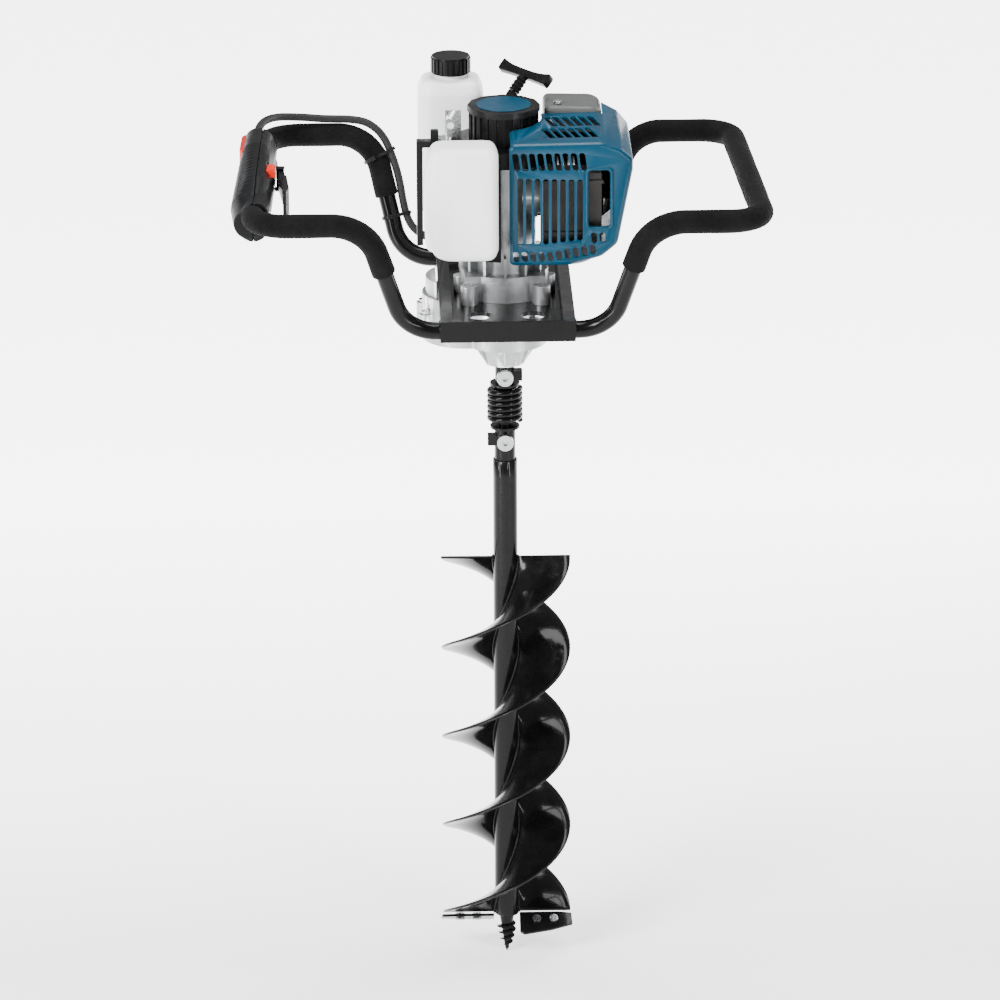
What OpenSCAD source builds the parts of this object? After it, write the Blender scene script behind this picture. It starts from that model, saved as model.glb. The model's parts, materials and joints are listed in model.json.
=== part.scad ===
// Engine-driven ice and earth auger, held by two handle loops.
// +X is right, +Y points away from the operator side, +Z is up.
// The origin is the tip of the pilot point, on the auger's axis.

/* [Auger] */
// Diameter swept by the flights
auger_d = 150; // [140:2:160]
// Diameter of the auger's tube
auger_tube_d = 28; // [27:1:30]
// Height of the flights' top edges
flight_top_z = 495; // [470:5:510]
// Thickness of the flight plate
flight_t = 3; // [2.5:0.5:4]

/* [Handle frame] */
// Diameter of the handle tubes
frame_tube_d = 20; // [19:0.5:21]
// Wall of the handle tubes
frame_wall = 2; // [1.5:0.5:3]
// Diameter of the foam sleeves
foam_d = 27; // [25:1:28]
// Height of the grips above the tip
grip_z = 951; // [949:1:953]

/* [Coupling] */
// Outer diameter of the damper spring
spring_d = 41.5; // [40:0.5:43]
// Wire diameter of the damper spring
spring_wire = 7; // [6:0.5:7.5]

/* [Reduction gears] */
// Gear module
gear_m = 1.25; // [1.25:0.25:1.25]
// Teeth of each pinion
pinion_teeth = 12; // [12:1:12]
// Teeth of each large gear
wheel_teeth = 64; // [64:1:64]

/* [Engine] */
// Height of the cylinder's axis
cylinder_z = 935; // [933:1:937]
// Radius of the cooling fins
fin_r = 39; // [36:1:40]
// Radius of the starter housing
starter_r = 38; // [37:0.5:38.5]

/* [Hidden] */
$fn = 48;

// heights of the stack, from the tip upwards
point_top_z = 48;
flight_low_z = 49;
auger_tube_top_z = 614;
lower_bolt_z = 638;
spring_low_z = 657;
spring_top_z = 703;
upper_bolt_z = 716;
nose_z = 731;
case_low_z = 757;
case_split_z = 782;
case_top_z = 811;
plate_t = 5;
plate_top_z = case_top_z + plate_t;
lower_tube_z = 813.5;
clutch_top_z = 840;
shroud_low_z = 977;
starter_low_z = 996;
starter_top_z = 1037;

// handle frame, as seen from above and from the front
grip_y = 181;
low_y = 139;
front_corner_x = 286;
rear_corner_x = 268;
front_shoulder_x = 158;
rear_shoulder_x = 148;
low_bend_x = 115;
tube_r = frame_tube_d / 2;
foam_r = foam_d / 2;
bar_tilt = atan((front_corner_x - rear_corner_x) / (2 * grip_y));
bar_x = (front_corner_x + rear_corner_x) / 2;

// gear train
pressure_angle = 25;
gear_backlash = 0.12;
gear_centres = gear_m * (pinion_teeth + wheel_teeth) / 2;
counter_dir = 157;
counter_pos = gear_centres * [cos(counter_dir), sin(counter_dir), 0];
wheel_tip_r = gear_m * wheel_teeth / 2 + gear_m;

// starter rope: direction of the pull and the mouth of its guide
pull_dir = [0.55, 0.47, 0.69];
guide_mouth = [12, 48, 1037];
rope_r = 1.75;
rope_route = [[-19, 22, 1010], [-12, 28, 1010.3], [-7, 32, 1013], [-4, 34.6, 1017],
  [4, 41.4, 1027], [12, 48, 1037], [17, 52.4, 1043.3]];

// throttle cable sleeve, from the grip housing along the rear tube to the carburettor
cable_r = 4.5;
cable_route = [[-279, 86.6, 981], [-278, 97, 984], [-273, 118, 985], [-265, 138, 983.5],
  [-254, 153, 981], [-241, 165, 977.5], [-224, 174, 974], [-206, 179, 971],
  [-190, 181, 969.8], [-172, 181, 969], [-156, 180, 966], [-144, 178, 959],
  [-135, 176, 949], [-128.2, 171.6, 936.2], [-121, 166, 916.5], [-116.4, 161.4, 898],
  [-113, 156.8, 878.6], [-109, 152, 862], [-103, 148, 850], [-93, 145, 841],
  [-80, 143, 836], [-62, 142, 833], [-40, 141, 832], [-20, 138, 833], [-2, 131, 839],
  [10, 121, 852], [16, 112, 870], [18, 104, 888], [17, 99, 905], [16, 93, 922],
  [16, 84, 938], [18, 76, 947], [21, 70, 951]];

// ---------- helpers ----------
function unit(v) = v / norm(v);
function frame_of(d) = let (z = unit(d),
  a = abs(z[2]) < 0.9 ? [0, 0, 1] : [1, 0, 0],
  x = unit(cross(a, z))) [x, cross(z, x), z];

// puts the children's +Z on the line that starts at p and runs along d
module along(p, d) {
  f = frame_of(d);
  multmatrix([[f[0][0], f[1][0], f[2][0], p[0]], [f[0][1], f[1][1], f[2][1], p[1]],
    [f[0][2], f[1][2], f[2][2], p[2]], [0, 0, 0, 1]]) children();
}

module ring(r_out, r_in, h) {
  difference() {
    cylinder(r = r_out, h = h);
    translate([0, 0, -1]) cylinder(r = r_in, h = h + 2);
  }
}

module rod_between(a, b, r) {
  along(a, b - a) cylinder(r = r, h = norm(b - a));
}

// route of [point, direction] pairs that runs through corner points, with a bend of the
// given radius at each inner corner, in steps of about bend_step degrees
bend_step = 12;
function bend_at(p, q, w, r) = let (
  u = unit(p - q),
  v = unit(w - q),
  half = acos(u * v) / 2,
  c = q + unit(u + v) * r / sin(half),
  x = unit(q + u * r / tan(half) - c),
  y = -u,
  turn = 180 - 2 * half,
  n = ceil(turn / bend_step))
  [for (k = [0:n]) let (a = turn * k / n)
    [c + r * (cos(a) * x + sin(a) * y), cos(a) * y - sin(a) * x]];
function route_of(pts, radii) = let (n = len(pts)) concat(
  [[pts[0], unit(pts[1] - pts[0])]],
  [for (i = [1:n - 2]) each bend_at(pts[i - 1], pts[i], pts[i + 1], radii[i])],
  [[pts[n - 1], unit(pts[n - 1] - pts[n - 2])]]);
// route of [point, direction] pairs through a list of points
function route_through(pts) = let (n = len(pts))
  [for (i = [0:n - 1]) [pts[i], unit(pts[min(i + 1, n - 1)] - pts[max(i - 1, 0)])]];

// corners of one ring of a swept tube for each station of the route
function swept_rings(route, r, sides) = let (
  n = len(route),
  first = unit(cross(route[0][1], [0.3, 0.2, 1])),
  across = [for (i = 0, s = first; i < n; i = i + 1,
    s = i < n ? unit(s - (s * route[i][1]) * route[i][1]) : s) s])
  [for (i = [0:n - 1]) for (k = [0:sides - 1]) let (a = 360 * k / sides)
    route[i][0] + r * (cos(a) * across[i] + sin(a) * cross(route[i][1], across[i]))];

// triangles of the wall between the rings, counted from the first corner's index
function wall_faces(n, sides, base, inward) = [for (i = [0:n - 2]) for (k = [0:sides - 1])
  let (j = (k + 1) % sides, p = base + i * sides, q = p + sides)
  each (inward ? [[p + k, p + j, q + j], [p + k, q + j, q + k]] :
    [[p + j, p + k, q + j], [q + j, p + k, q + k]])];

// closed round rod along a route
module swept_rod(route, r, sides) {
  n = len(route);
  polyhedron(swept_rings(route, r, sides), concat(
    wall_faces(n, sides, 0, false),
    [[for (k = [0:sides - 1]) k], [for (k = [sides - 1:-1:0]) (n - 1) * sides + k]]));
}

// open-ended round pipe along a route
module swept_pipe(route, r_out, r_in, sides) {
  n = len(route);
  m = n * sides;
  last = m - sides;
  polyhedron(
    concat(swept_rings(route, r_out, sides), swept_rings(route, r_in, sides)),
    concat(wall_faces(n, sides, 0, false), wall_faces(n, sides, m, true),
      [for (k = [0:sides - 1]) let (j = (k + 1) % sides)
        each [[k, j, m + j], [k, m + j, m + k],
        [last + j, last + k, last + m + j], [last + m + j, last + k, last + m + k]]]));
}

// involute gear outline with a tooth centred on +X
function inv(a) = tan(a) * 180 / PI - a;
function gear_outline(teeth) = let (
  rp = gear_m * teeth / 2,
  rb = rp * cos(pressure_angle),
  tip = rp + gear_m * 0.95,
  root = rp - gear_m * 1.25,
  half = 90 / teeth - gear_backlash / rp * 180 / PI / 2 + inv(pressure_angle),
  start = max(rb + 0.01, root),
  steps = 4,
  radii = [for (k = [0:steps]) start + (tip - start) * k / steps],
  flank = [for (r = radii) [r, half - inv(acos(rb / r))]])
  [for (t = [0:teeth - 1]) let (c = 360 * t / teeth) each concat(
    root < rb ? [root * [cos(c - half), sin(c - half)]] : [],
    [for (f = flank) f[0] * [cos(c - f[1]), sin(c - f[1])]],
    [for (k = [steps:-1:0]) flank[k][0] * [cos(c + flank[k][1]), sin(c + flank[k][1])]],
    root < rb ? [root * [cos(c + half), sin(c + half)]] : [])];

module gear(teeth, h, turn) {
  rotate([0, 0, turn]) linear_extrude(h) polygon(gear_outline(teeth));
}

// ---------- handle frame ----------
function loop_points(s) = [
  [0, -low_y, lower_tube_z], [s * low_bend_x, -low_y, lower_tube_z],
  [s * front_shoulder_x, -grip_y, grip_z], [s * front_corner_x, -grip_y, grip_z],
  [s * rear_corner_x, grip_y, grip_z], [s * rear_shoulder_x, grip_y, grip_z],
  [s * low_bend_x, low_y, lower_tube_z], [0, low_y, lower_tube_z]];
loop_radii = [0, 47, 54, 38, 38, 50, 44, 0];

module left_frame_tube() {
  color("#141415") swept_pipe(route_of(loop_points(-1), loop_radii), tube_r, tube_r - frame_wall, 16);
}

module right_frame_tube() {
  color("#141415") swept_pipe(route_of(loop_points(1), loop_radii), tube_r, tube_r - frame_wall, 16);
}

// point on a leg of the loop, part of the way from its shoulder to its foot
function leg_point(s, front, t) = let (p = loop_points(s),
  a = front ? p[2] : p[5], b = front ? p[1] : p[6]) a + (b - a) * t;
// point on the grip bar at the local distance y from the bar's middle
function bar_point(s, y) = [s * (bar_x - y * tan(bar_tilt)), y, grip_z];

foam_bore = tube_r + 0.4;
left_foam_front = [leg_point(-1, true, 0.45), loop_points(-1)[2], loop_points(-1)[3],
  bar_point(-1, -141.5)];
left_foam_rear = [bar_point(-1, 93), loop_points(-1)[4], loop_points(-1)[5],
  leg_point(-1, false, 0.5)];
right_foam_run = [leg_point(1, true, 0.42), loop_points(1)[2], loop_points(1)[3],
  loop_points(1)[4], loop_points(1)[5], leg_point(1, false, 0.45)];

module left_foams() {
  color("#2b2b2d") {
    swept_pipe(route_of(left_foam_front, [0, 54, 38, 0]), foam_r, foam_bore, 16);
    swept_pipe(route_of(left_foam_rear, [0, 38, 50, 0]), foam_r, foam_bore, 16);
  }
}

module right_foam() {
  color("#2b2b2d")
    swept_pipe(route_of(right_foam_run, [0, 54, 38, 38, 50, 0]), foam_r, foam_bore, 16);
}

rail_in_x = 62;
rail_out_x = 76;
rail_top_z = 827.5;
gap = 0.2;

module engine_plate() {
  inner_y = low_y - tube_r - gap;
  color("#161617") difference() {
    union() {
      translate([-rail_out_x, -inner_y, case_top_z])
        cube([2 * rail_out_x, 2 * inner_y, plate_t]);
      for (s = [-1, 1]) {
        translate([s > 0 ? rail_in_x : -rail_out_x, -inner_y, case_top_z])
          cube([rail_out_x - rail_in_x, 2 * inner_y, rail_top_z - case_top_z]);
        translate([s > 0 ? rail_in_x : -rail_out_x, -low_y - tube_r - 3,
          lower_tube_z + tube_r + gap])
          cube([rail_out_x - rail_in_x, 2 * (low_y + tube_r + 3),
            rail_top_z - lower_tube_z - tube_r - gap]);
        translate([-rail_out_x, s > 0 ? low_y + tube_r + gap : -low_y - tube_r - 3,
          lower_tube_z - tube_r])
          cube([2 * rail_out_x, 3 - gap, rail_top_z - lower_tube_z + tube_r]);
      }
    }
    translate([0, 0, case_top_z - 1]) cylinder(r = 30.3, h = plate_t + 2);
    for (s = [-1, 1]) for (t = [-1, 1])
      translate([s * 30, t * 92, case_top_z - 1]) cylinder(r = 14, h = plate_t + 2);
    for (s = [-1, 1]) for (t = [-1, 1])
      translate([s * 41, t * 48, case_top_z - 1]) cylinder(r = 3.2, h = plate_t + 2);
  }
}

// ---------- left grip ----------
module at_bar() {
  translate([-bar_x, 0, grip_z]) rotate([0, 0, -bar_tilt]) children();
}

// round bar along the grip, between two stations
module grip_rod(x, z, r, y0, y1) {
  translate([x, y0, z]) rotate([-90, 0, 0]) cylinder(r = r, h = y1 - y0, $fn = 32);
}

module grip_body() {
  hull() {
    grip_rod(-5, -10, 17, -140, -70);
    grip_rod(-10, -2, 17, -110, -40);
    grip_rod(-2, 10, 17.5, -70, 84);
    grip_rod(-5, 22, 17, 20, 80);
  }
  hull() {
    grip_rod(0, -14, 17, -138, -80);
    grip_rod(2, 0, 15.5, -139, 60);
  }
}

module grip_channel() {
  translate([0, -200, 0]) rotate([-90, 0, 0]) cylinder(r = tube_r + 0.15, h = 400);
}

lever_pin = [-14, 76, 0];
trigger_pin = [23, 6, 0];

module housing_outer() {
  color("#26282b") at_bar() difference() {
    union() {
      difference() {
        intersection() {
          grip_body();
          translate([-60, -200, -60]) cube([59.9, 400, 140]);
        }
        translate([-37, 17, 13.5]) cube([28, 64, 17]);
        translate([-10, -60, 12]) cube([12, 70, 12]);
      }
      translate([lever_pin[0], lever_pin[1], 12]) cylinder(r = 1.5, h = 20);
    }
    grip_channel();
  }
}

module housing_inner() {
  color("#26282b") at_bar() difference() {
    union() {
      difference() {
        intersection() {
          grip_body();
          translate([0.1, -200, -60]) cube([59.9, 400, 140]);
        }
        translate([9.6, -46.4, 16]) cube([10.8, 30, 20]);
        translate([-2, -60, 12]) cube([6, 70, 12]);
      }
      for (z = [-13.9, 11]) translate([8, trigger_pin[1] - 5, z]) cube([20, 10, 3]);
      translate([trigger_pin[0], trigger_pin[1], -12]) cylinder(r = 2, h = 24);
    }
    grip_channel();
  }
}

module throttle_trigger() {
  color("#303236") at_bar() difference() {
    union() {
      translate([trigger_pin[0], trigger_pin[1], -10.5]) cylinder(r = 4.5, h = 21);
      translate([0, 0, -10.5]) linear_extrude(21)
        polygon([[20.2, 4], [26.5, 8], [37, -72], [34, -84], [30.5, -84], [30.5, -70]]);
      translate([0, 0, -18]) linear_extrude(30)
        polygon([[27.5, -20], [31.5, -20], [37, -72], [34, -84], [30.5, -84], [30.5, -70]]);
    }
    translate([trigger_pin[0], trigger_pin[1], -12]) cylinder(r = 2.06, h = 24);
  }
}

module lockout_lever() {
  color("#d5261e") at_bar() difference() {
    translate([0, 0, 14]) linear_extrude(16)
      polygon([[-24, 22], [-21, 18], [-16, 18], [-16, 70], [-11, 72], [-11, 80], [-21, 80],
        [-24, 74]]);
    translate([lever_pin[0], lever_pin[1], 12]) cylinder(r = 1.56, h = 20);
  }
}

module stop_switch() {
  color("#e04a1f") at_bar() translate([10, -46, 16.4]) {
    cube([10, 21, 9]);
    for (i = [0:3]) translate([1, 3 + i * 4.5, 9]) cube([8, 2, 1.6]);
  }
}

module throttle_cable() {
  color("#1b1b1c") swept_rod(route_through(cable_route), cable_r, 12);
}

// band round a tube of radius r at p, running along d, and round the cable at q
module tie_band(p, q, d, r) {
  x = unit(q - p);
  z = unit(d - (d * x) * x);
  y = cross(z, x);
  multmatrix([[x[0], y[0], z[0], p[0]], [x[1], y[1], z[1], p[1]], [x[2], y[2], z[2], p[2]],
    [0, 0, 0, 1]]) {
    linear_extrude(4) difference() {
      tie_outline(norm(q - p), r + 1.9, cable_r + 2.1);
      tie_outline(norm(q - p), r + 0.7, cable_r + 0.9);
    }
    translate([-3, r + 1.3, -0.5]) cube([6, 4, 5]);
  }
}

module tie_outline(reach, r1, r2) {
  hull() {
    circle(r = r1);
    translate([reach, 0]) circle(r = r2);
  }
}

upper_tie = [[-144.5, 173.7, 927], [-128.2, 171.6, 936.2], [12.4, -7.4, -24.1]];
lower_tie = [[-126.5, 153.6, 861.3], [-110.2, 153, 865.4], [33, -42, -137.5]];
module cable_ties() {
  color("#0e0e0f") {
    tie_band(upper_tie[0], upper_tie[1], upper_tie[2], foam_r);
    tie_band(lower_tie[0], lower_tie[1], lower_tie[2], tube_r);
  }
}

// ---------- reduction gearbox ----------
module case_outline(r1, r2, w) {
  circle(r = r1);
  translate([counter_pos[0], counter_pos[1]]) circle(r = r2);
  rotate(counter_dir) translate([0, -w]) square([gear_centres, 2 * w]);
}

// bolt stations round the casing, as angle and centre
case_bolts = concat(
  [for (a = [-110, -50, 10, 70]) 51.5 * [cos(a), sin(a), 0]],
  [for (a = [105, 157, 209]) counter_pos + 53 * [cos(a), sin(a), 0]]);

module case_lobes(r, h) {
  for (p = case_bolts) translate(p) cylinder(r = r, h = h);
}

module upper_gear_case() {
  color("#b9bcc0") difference() {
    union() {
      translate([0, 0, case_split_z]) linear_extrude(case_top_z - case_split_z)
        case_outline(48.5, 50, 44);
      translate([0, 0, case_split_z]) case_lobes(7.5, 10);
      translate([0, 0, case_top_z - 1]) cylinder(r = 30, h = plate_t + 1);
      translate([0, 0, case_top_z - 1]) linear_extrude(20) intersection() {
        translate([counter_pos[0], counter_pos[1]]) circle(r = 46);
        translate([-120, -30]) square([42, 110]);
      }
    }
    translate([0, 0, case_split_z - 1]) linear_extrude(804 - case_split_z + 1)
      case_outline(43.5, 43.5, 38);
    translate([0, 0, 803]) cylinder(r = 16.05, h = 11);
    translate([0, 0, 813]) cylinder(r = 8, h = 5);
    translate(counter_pos + [0, 0, 803]) cylinder(r = 11.05, h = 6);
    translate([0, 0, case_split_z - 1]) case_lobes(2.7, 13);
    translate([0, 0, case_split_z + 10.02]) case_lobes(5.4, 12);
  }
}

module lower_gear_case() {
  color("#c3c6ca") difference() {
    union() {
      translate([0, 0, case_low_z]) linear_extrude(case_split_z - case_low_z)
        case_outline(48.5, 50, 44);
      translate([0, 0, case_split_z - 10]) case_lobes(7.5, 10);
      translate([0, 0, nose_z]) cylinder(r1 = 23, r2 = 34, h = case_low_z - nose_z + 1);
      for (a = [0:60:300]) rotate([0, 0, a + 30]) translate([0, 1.8, 0])
        rotate([90, 0, 0]) linear_extrude(3.6)
          polygon([[20, nose_z + 2], [24.5, nose_z + 2], [41, case_low_z + 1],
            [20, case_low_z + 1]]);
    }
    translate([0, 0, 770]) linear_extrude(20) case_outline(43.5, 43.5, 38);
    translate([0, 0, nose_z - 1]) cylinder(r = 13, h = 45);
    translate([0, 0, 734]) cylinder(r = 20.05, h = 12);
    translate([0, 0, 758]) cylinder(r = 20.05, h = 13);
    translate(counter_pos + [0, 0, 765]) cylinder(r = 11.05, h = 6);
    translate([0, 0, case_split_z - 11]) case_lobes(2.7, 13);
  }
}

module bearing(r_out, r_in, h) {
  mid = (r_out + r_in) / 2;
  ring(r_out, mid + 2, h);
  ring(mid - 2, r_in, h);
  translate([0, 0, h * 0.2]) ring(mid + 2, mid - 2, h * 0.6);
}

module bearings() {
  color("#8f9398") {
    for (z = [734, 758]) translate([0, 0, z]) bearing(20, 10.05, 12);
    translate([0, 0, 804]) bearing(16, 6.05, 10);
    for (z = [765, 804]) translate(counter_pos + [0, 0, z]) bearing(11, 4.05, 5);
  }
}

module output_shaft() {
  color("#a5a8ab") difference() {
    union() {
      translate([0, 0, 704]) cylinder(r = 8, h = 22);
      translate([0, 0, 724]) cylinder(r = 10, h = 64);
      translate([0, 0, 788]) cylinder(r = 12, h = 1.2);
    }
    translate([0, 0, upper_bolt_z]) rotate([90, 0, 0]) cylinder(r = 4.1, h = 40, center = true);
  }
}

module output_gear() {
  color("#7d8084") translate([0, 0, 773]) difference() {
    gear(wheel_teeth, 15, counter_dir + 180 / wheel_teeth);
    translate([0, 0, -1]) cylinder(r = 10.02, h = 20);
    for (a = [0:60:300]) rotate([0, 0, a]) translate([25, 0, -1]) cylinder(r = 6, h = 20);
  }
}

module counter_shaft() {
  color("#94979b") translate(counter_pos) {
    translate([0, 0, 765]) cylinder(r = 4, h = 44);
    translate([0, 0, 771]) gear(pinion_teeth, 17.5, counter_dir + 180);
    translate([0, 0, 788.5]) cylinder(r = 9.4, h = 2.5);
  }
}

module counter_gear() {
  color("#7d8084") translate(counter_pos + [0, 0, 791]) difference() {
    gear(wheel_teeth, 10, counter_dir + 180 + 180 / wheel_teeth);
    translate([0, 0, -1]) cylinder(r = 4.02, h = 12);
    for (a = [0:60:300]) rotate([0, 0, a]) translate([25, 0, -1]) cylinder(r = 7, h = 12);
  }
}

// ---------- clutch ----------
drum_low_z = 819;
module clutch_drum() {
  color("#8a8d91") {
    translate([0, 0, 790.5]) gear(pinion_teeth, 12, counter_dir);
    translate([0, 0, 802]) cylinder(r = 6, h = 18);
    translate([0, 0, drum_low_z]) difference() {
      cylinder(r = 37.5, h = 20);
      translate([0, 0, 2.5]) cylinder(r = 35.5, h = 20);
    }
  }
}

module clutch_housing() {
  color("#c6c9cc") difference() {
    union() {
      translate([0, 0, plate_top_z]) linear_extrude(clutch_top_z - plate_top_z)
        union() {
          square([92, 84], center = true);
          circle(r = 50);
        }
      for (s = [-1, 1]) for (t = [-1, 1])
        translate([s * 41, t * 48, plate_top_z]) cylinder(r = 10, h = 22);
      for (s = [-1, 1]) translate([s * 50, 0, plate_top_z]) cylinder(r = 8, h = 20);
    }
    translate([0, 0, drum_low_z - 1]) cylinder(r = 39, h = 30);
    translate([0, 0, plate_top_z - 1]) cylinder(r = 9, h = 5);
    for (s = [-1, 1]) for (t = [-1, 1])
      translate([s * 41, t * 48, plate_top_z - 1]) cylinder(r = 3.1, h = 19);
    for (s = [-1, 1]) for (t = [-1, 1])
      translate([s * 41, t * 48, plate_top_z + 18]) cylinder(r = 5.6, h = 12);
  }
}

module clutch_shoes() {
  color("#5c5a55") {
    translate([0, 0, 824]) difference() {
      union() {
        ring(13, 7.55, 12);
        for (s = [0, 180]) rotate([0, 0, s]) translate([11, -6, 0]) cube([14, 12, 12]);
      }
    }
    for (s = [0, 180]) rotate([0, 0, s]) translate([0, 0, 824])
      rotate([0, 0, -78]) rotate_extrude(angle = 156) translate([25.3, 0]) square([9.2, 12]);
  }
}

// ---------- engine ----------
module at_cylinder() {
  translate([0, 0, cylinder_z]) rotate([0, 90, 0]) children();
}

module crankcase() {
  color("#8f9295") difference() {
    union() {
      translate([0, 0, clutch_top_z]) linear_extrude(6) union() {
        circle(r = 50);
        square([92, 84], center = true);
      }
      translate([0, 0, clutch_top_z]) cylinder(r = 36, h = 134);
      for (a = [0:30:330]) rotate([0, 0, a]) translate([30, -1.5, clutch_top_z])
        cube([17, 3, 28]);
      at_cylinder() translate([0, 0, 20]) cylinder(r = 30, h = 18);
    }
    translate([0, 0, clutch_top_z - 1]) cylinder(r = 12, h = 60);
    translate([0, 0, 870]) cylinder(r = 7.55, h = 120);
    translate([0, 0, 913]) cylinder(r = 28, h = 44);
    at_cylinder() cylinder(r = 21.2, h = 60);
  }
}

crank_throw = 16;
module crankshaft() {
  color("#9da0a3") {
    translate([0, 0, 824]) cylinder(r = 7.5, h = 91);
    translate([0, 0, 915]) cylinder(r = 25, h = 8);
    translate([crank_throw, 0, 923]) cylinder(r = 6, h = 24);
    translate([0, 0, 947]) cylinder(r = 25, h = 8);
    translate([0, 0, 955]) cylinder(r = 7.5, h = 40);
  }
}

wrist_x = 62;
module connecting_rod() {
  color("#8d9093") {
    for (x = [crank_throw, wrist_x]) translate([x, 0, cylinder_z - 5])
      ring(x == wrist_x ? 8 : 10, x == wrist_x ? 5.05 : 6.05, 10);
    translate([crank_throw + 8.5, -3.5, cylinder_z - 3])
      cube([wrist_x - crank_throw - 15, 7, 6]);
  }
}

module piston() {
  color("#c9ccd0") {
    difference() {
      at_cylinder() translate([0, 0, 50]) cylinder(r = 20.9, h = 26);
      at_cylinder() translate([0, 0, 49]) cylinder(r = 18, h = 22);
    }
    translate([wrist_x, 0, cylinder_z - 17.9]) cylinder(r = 5, h = 35.8);
  }
}

module cylinder_block() {
  color("#a9acaf") difference() {
    union() {
      at_cylinder() translate([0, 0, 38.2]) cylinder(r = 26, h = 48);
      for (i = [0:7]) at_cylinder() translate([0, 0, 42 + i * 6]) cylinder(r = fin_r, h = 2);
      translate([42, 20, cylinder_z - 15]) cube([26, 25, 30]);
      translate([46, -44, cylinder_z - 15]) cube([26, 25, 30]);
    }
    at_cylinder() translate([0, 0, 37]) cylinder(r = 21, h = 42);
    at_cylinder() translate([0, 0, 70]) cylinder(r = 5.05, h = 30);
    translate([55, 10, cylinder_z]) rotate([-90, 0, 0]) cylinder(r = 8, h = 50);
    translate([59, -10, cylinder_z]) rotate([90, 0, 0]) cylinder(r = 8, h = 50);
  }
}

module spark_plug() {
  color("#d9d9d6") at_cylinder() {
    translate([0, 0, 79]) cylinder(r = 5, h = 7.2);
    translate([0, 0, 86.2]) cylinder(r = 9.5, h = 7, $fn = 6);
    translate([0, 0, 93.2]) cylinder(r = 4.5, h = 16);
  }
}

module plug_boot() {
  color("#1a1a1b") at_cylinder() {
    translate([0, 0, 96]) ring(9, 4.6, 14);
    translate([0, 0, 109.3]) cylinder(r = 9, h = 5);
    for (z = [98, 104]) translate([0, 0, z]) ring(10, 8.9, 2);
  }
}

module muffler() {
  color("#6f7072") difference() {
    union() {
      translate([42, -78, 896]) cube([66, 33.9, 82]);
      for (z = [906, 966]) translate([40, -80, z]) cube([70, 3, 4]);
    }
    translate([44, -76, 898]) cube([62, 30, 78]);
    translate([59, -50, cylinder_z]) rotate([90, 0, 0]) cylinder(r = 8, h = 12, center = true);
    translate([59, -46, cylinder_z]) rotate([90, 0, 0]) cylinder(r = 8, h = 12, center = true);
  }
}

carb_y = 45.2;
module carburettor() {
  color("#9a9c9f") difference() {
    union() {
      translate([40, carb_y, cylinder_z - 15]) cube([30, 8, 30]);
      translate([38, carb_y + 7.9, cylinder_z - 18]) cube([34, 22, 36]);
      translate([29, carb_y + 20, cylinder_z - 4]) rotate([0, 90, 0]) cylinder(r = 9.6, h = 10);
    }
    translate([28, carb_y + 20, cylinder_z - 4]) rotate([0, 90, 0]) cylinder(r = 8.05, h = 7.2);
    translate([55, carb_y - 5, cylinder_z]) rotate([-90, 0, 0]) cylinder(r = 8, h = 50);
    translate([46, carb_y + 18, cylinder_z + 9]) cylinder(r = 2.05, h = 20);
  }
}

module throttle_arm() {
  color("#b5a27c") translate([46, carb_y + 18, cylinder_z + 12]) {
    cylinder(r = 2, h = 10);
    translate([0, 0, 6.4]) linear_extrude(2)
      polygon([[-3, -3], [3, -3], [3, 3], [-2, 12], [-6, 12], [-6, 3]]);
  }
}

module air_filter_box() {
  color("#1d1d1f") difference() {
    translate([24, carb_y + 30.1, 896]) cube([68, 30, 86]);
    translate([27, carb_y + 33, 899]) cube([62, 24, 80]);
    translate([55, carb_y + 25, cylinder_z]) rotate([-90, 0, 0]) cylinder(r = 8, h = 12);
    translate([80, carb_y + 56, 970]) rotate([-90, 0, 0]) cylinder(r = 2.05, h = 8);
  }
}

module choke_lever() {
  color("#c8281e") translate([80, carb_y + 56.5, 970]) {
    rotate([-90, 0, 0]) cylinder(r = 2, h = 8);
    translate([-4, 4, -4]) cube([24, 3, 8]);
  }
}

module primer_bulb() {
  color("#c9a24e") translate([22.6, carb_y + 20, cylinder_z - 4]) rotate([0, 90, 0])
    intersection() {
      translate([0, 0, 8]) sphere(r = 8);
      cylinder(r = 9, h = 9);
    }
}

module flywheel() {
  color("#9b9ea1") difference() {
    union() {
      translate([0, 0, 979]) cylinder(r = 40, h = 5);
      translate([0, 0, 979]) cylinder(r = 14, h = 12);
      for (a = [0:30:330]) rotate([0, 0, a]) translate([22, -1, 983]) cube([30, 2, 8]);
    }
    translate([0, 0, 970]) cylinder(r = 7.55, h = 40);
  }
}

shroud_r = 60;
module fan_shroud() {
  color("#17181a") {
    translate([0, 0, shroud_low_z]) ring(shroud_r, shroud_r - 3, 19);
    translate([0, 0, starter_low_z - 3]) ring(shroud_r, 36.2, 3);
    rotate([0, 0, 185]) translate([0, 0, 868])
      rotate_extrude(angle = 80) translate([shroud_r - 2.6, 0]) square([2.2, 110]);
    difference() {
      union() {
        translate([43.5, 40.2, 893]) cube([71.5, 2.2, 106]);
        translate([25, 40.2, 893]) cube([20, 2.2, 83]);
        translate([114.9, 40.2, 912]) cube([10.6, 2.2, 87]);
      }
      translate([30, 30, 915]) cube([44, 20, 40]);
    }
  }
}

// ---------- covers ----------
cover_front_y = -88;
cover_rear_y = 44;
cover_wall = 3;
cover_outline = [[3, 872], [72, 872], [108, 882], [126, 897], [143, 984], [143, 1000],
  [130, 1016], [108, 1028], [3, 1026]];

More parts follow.
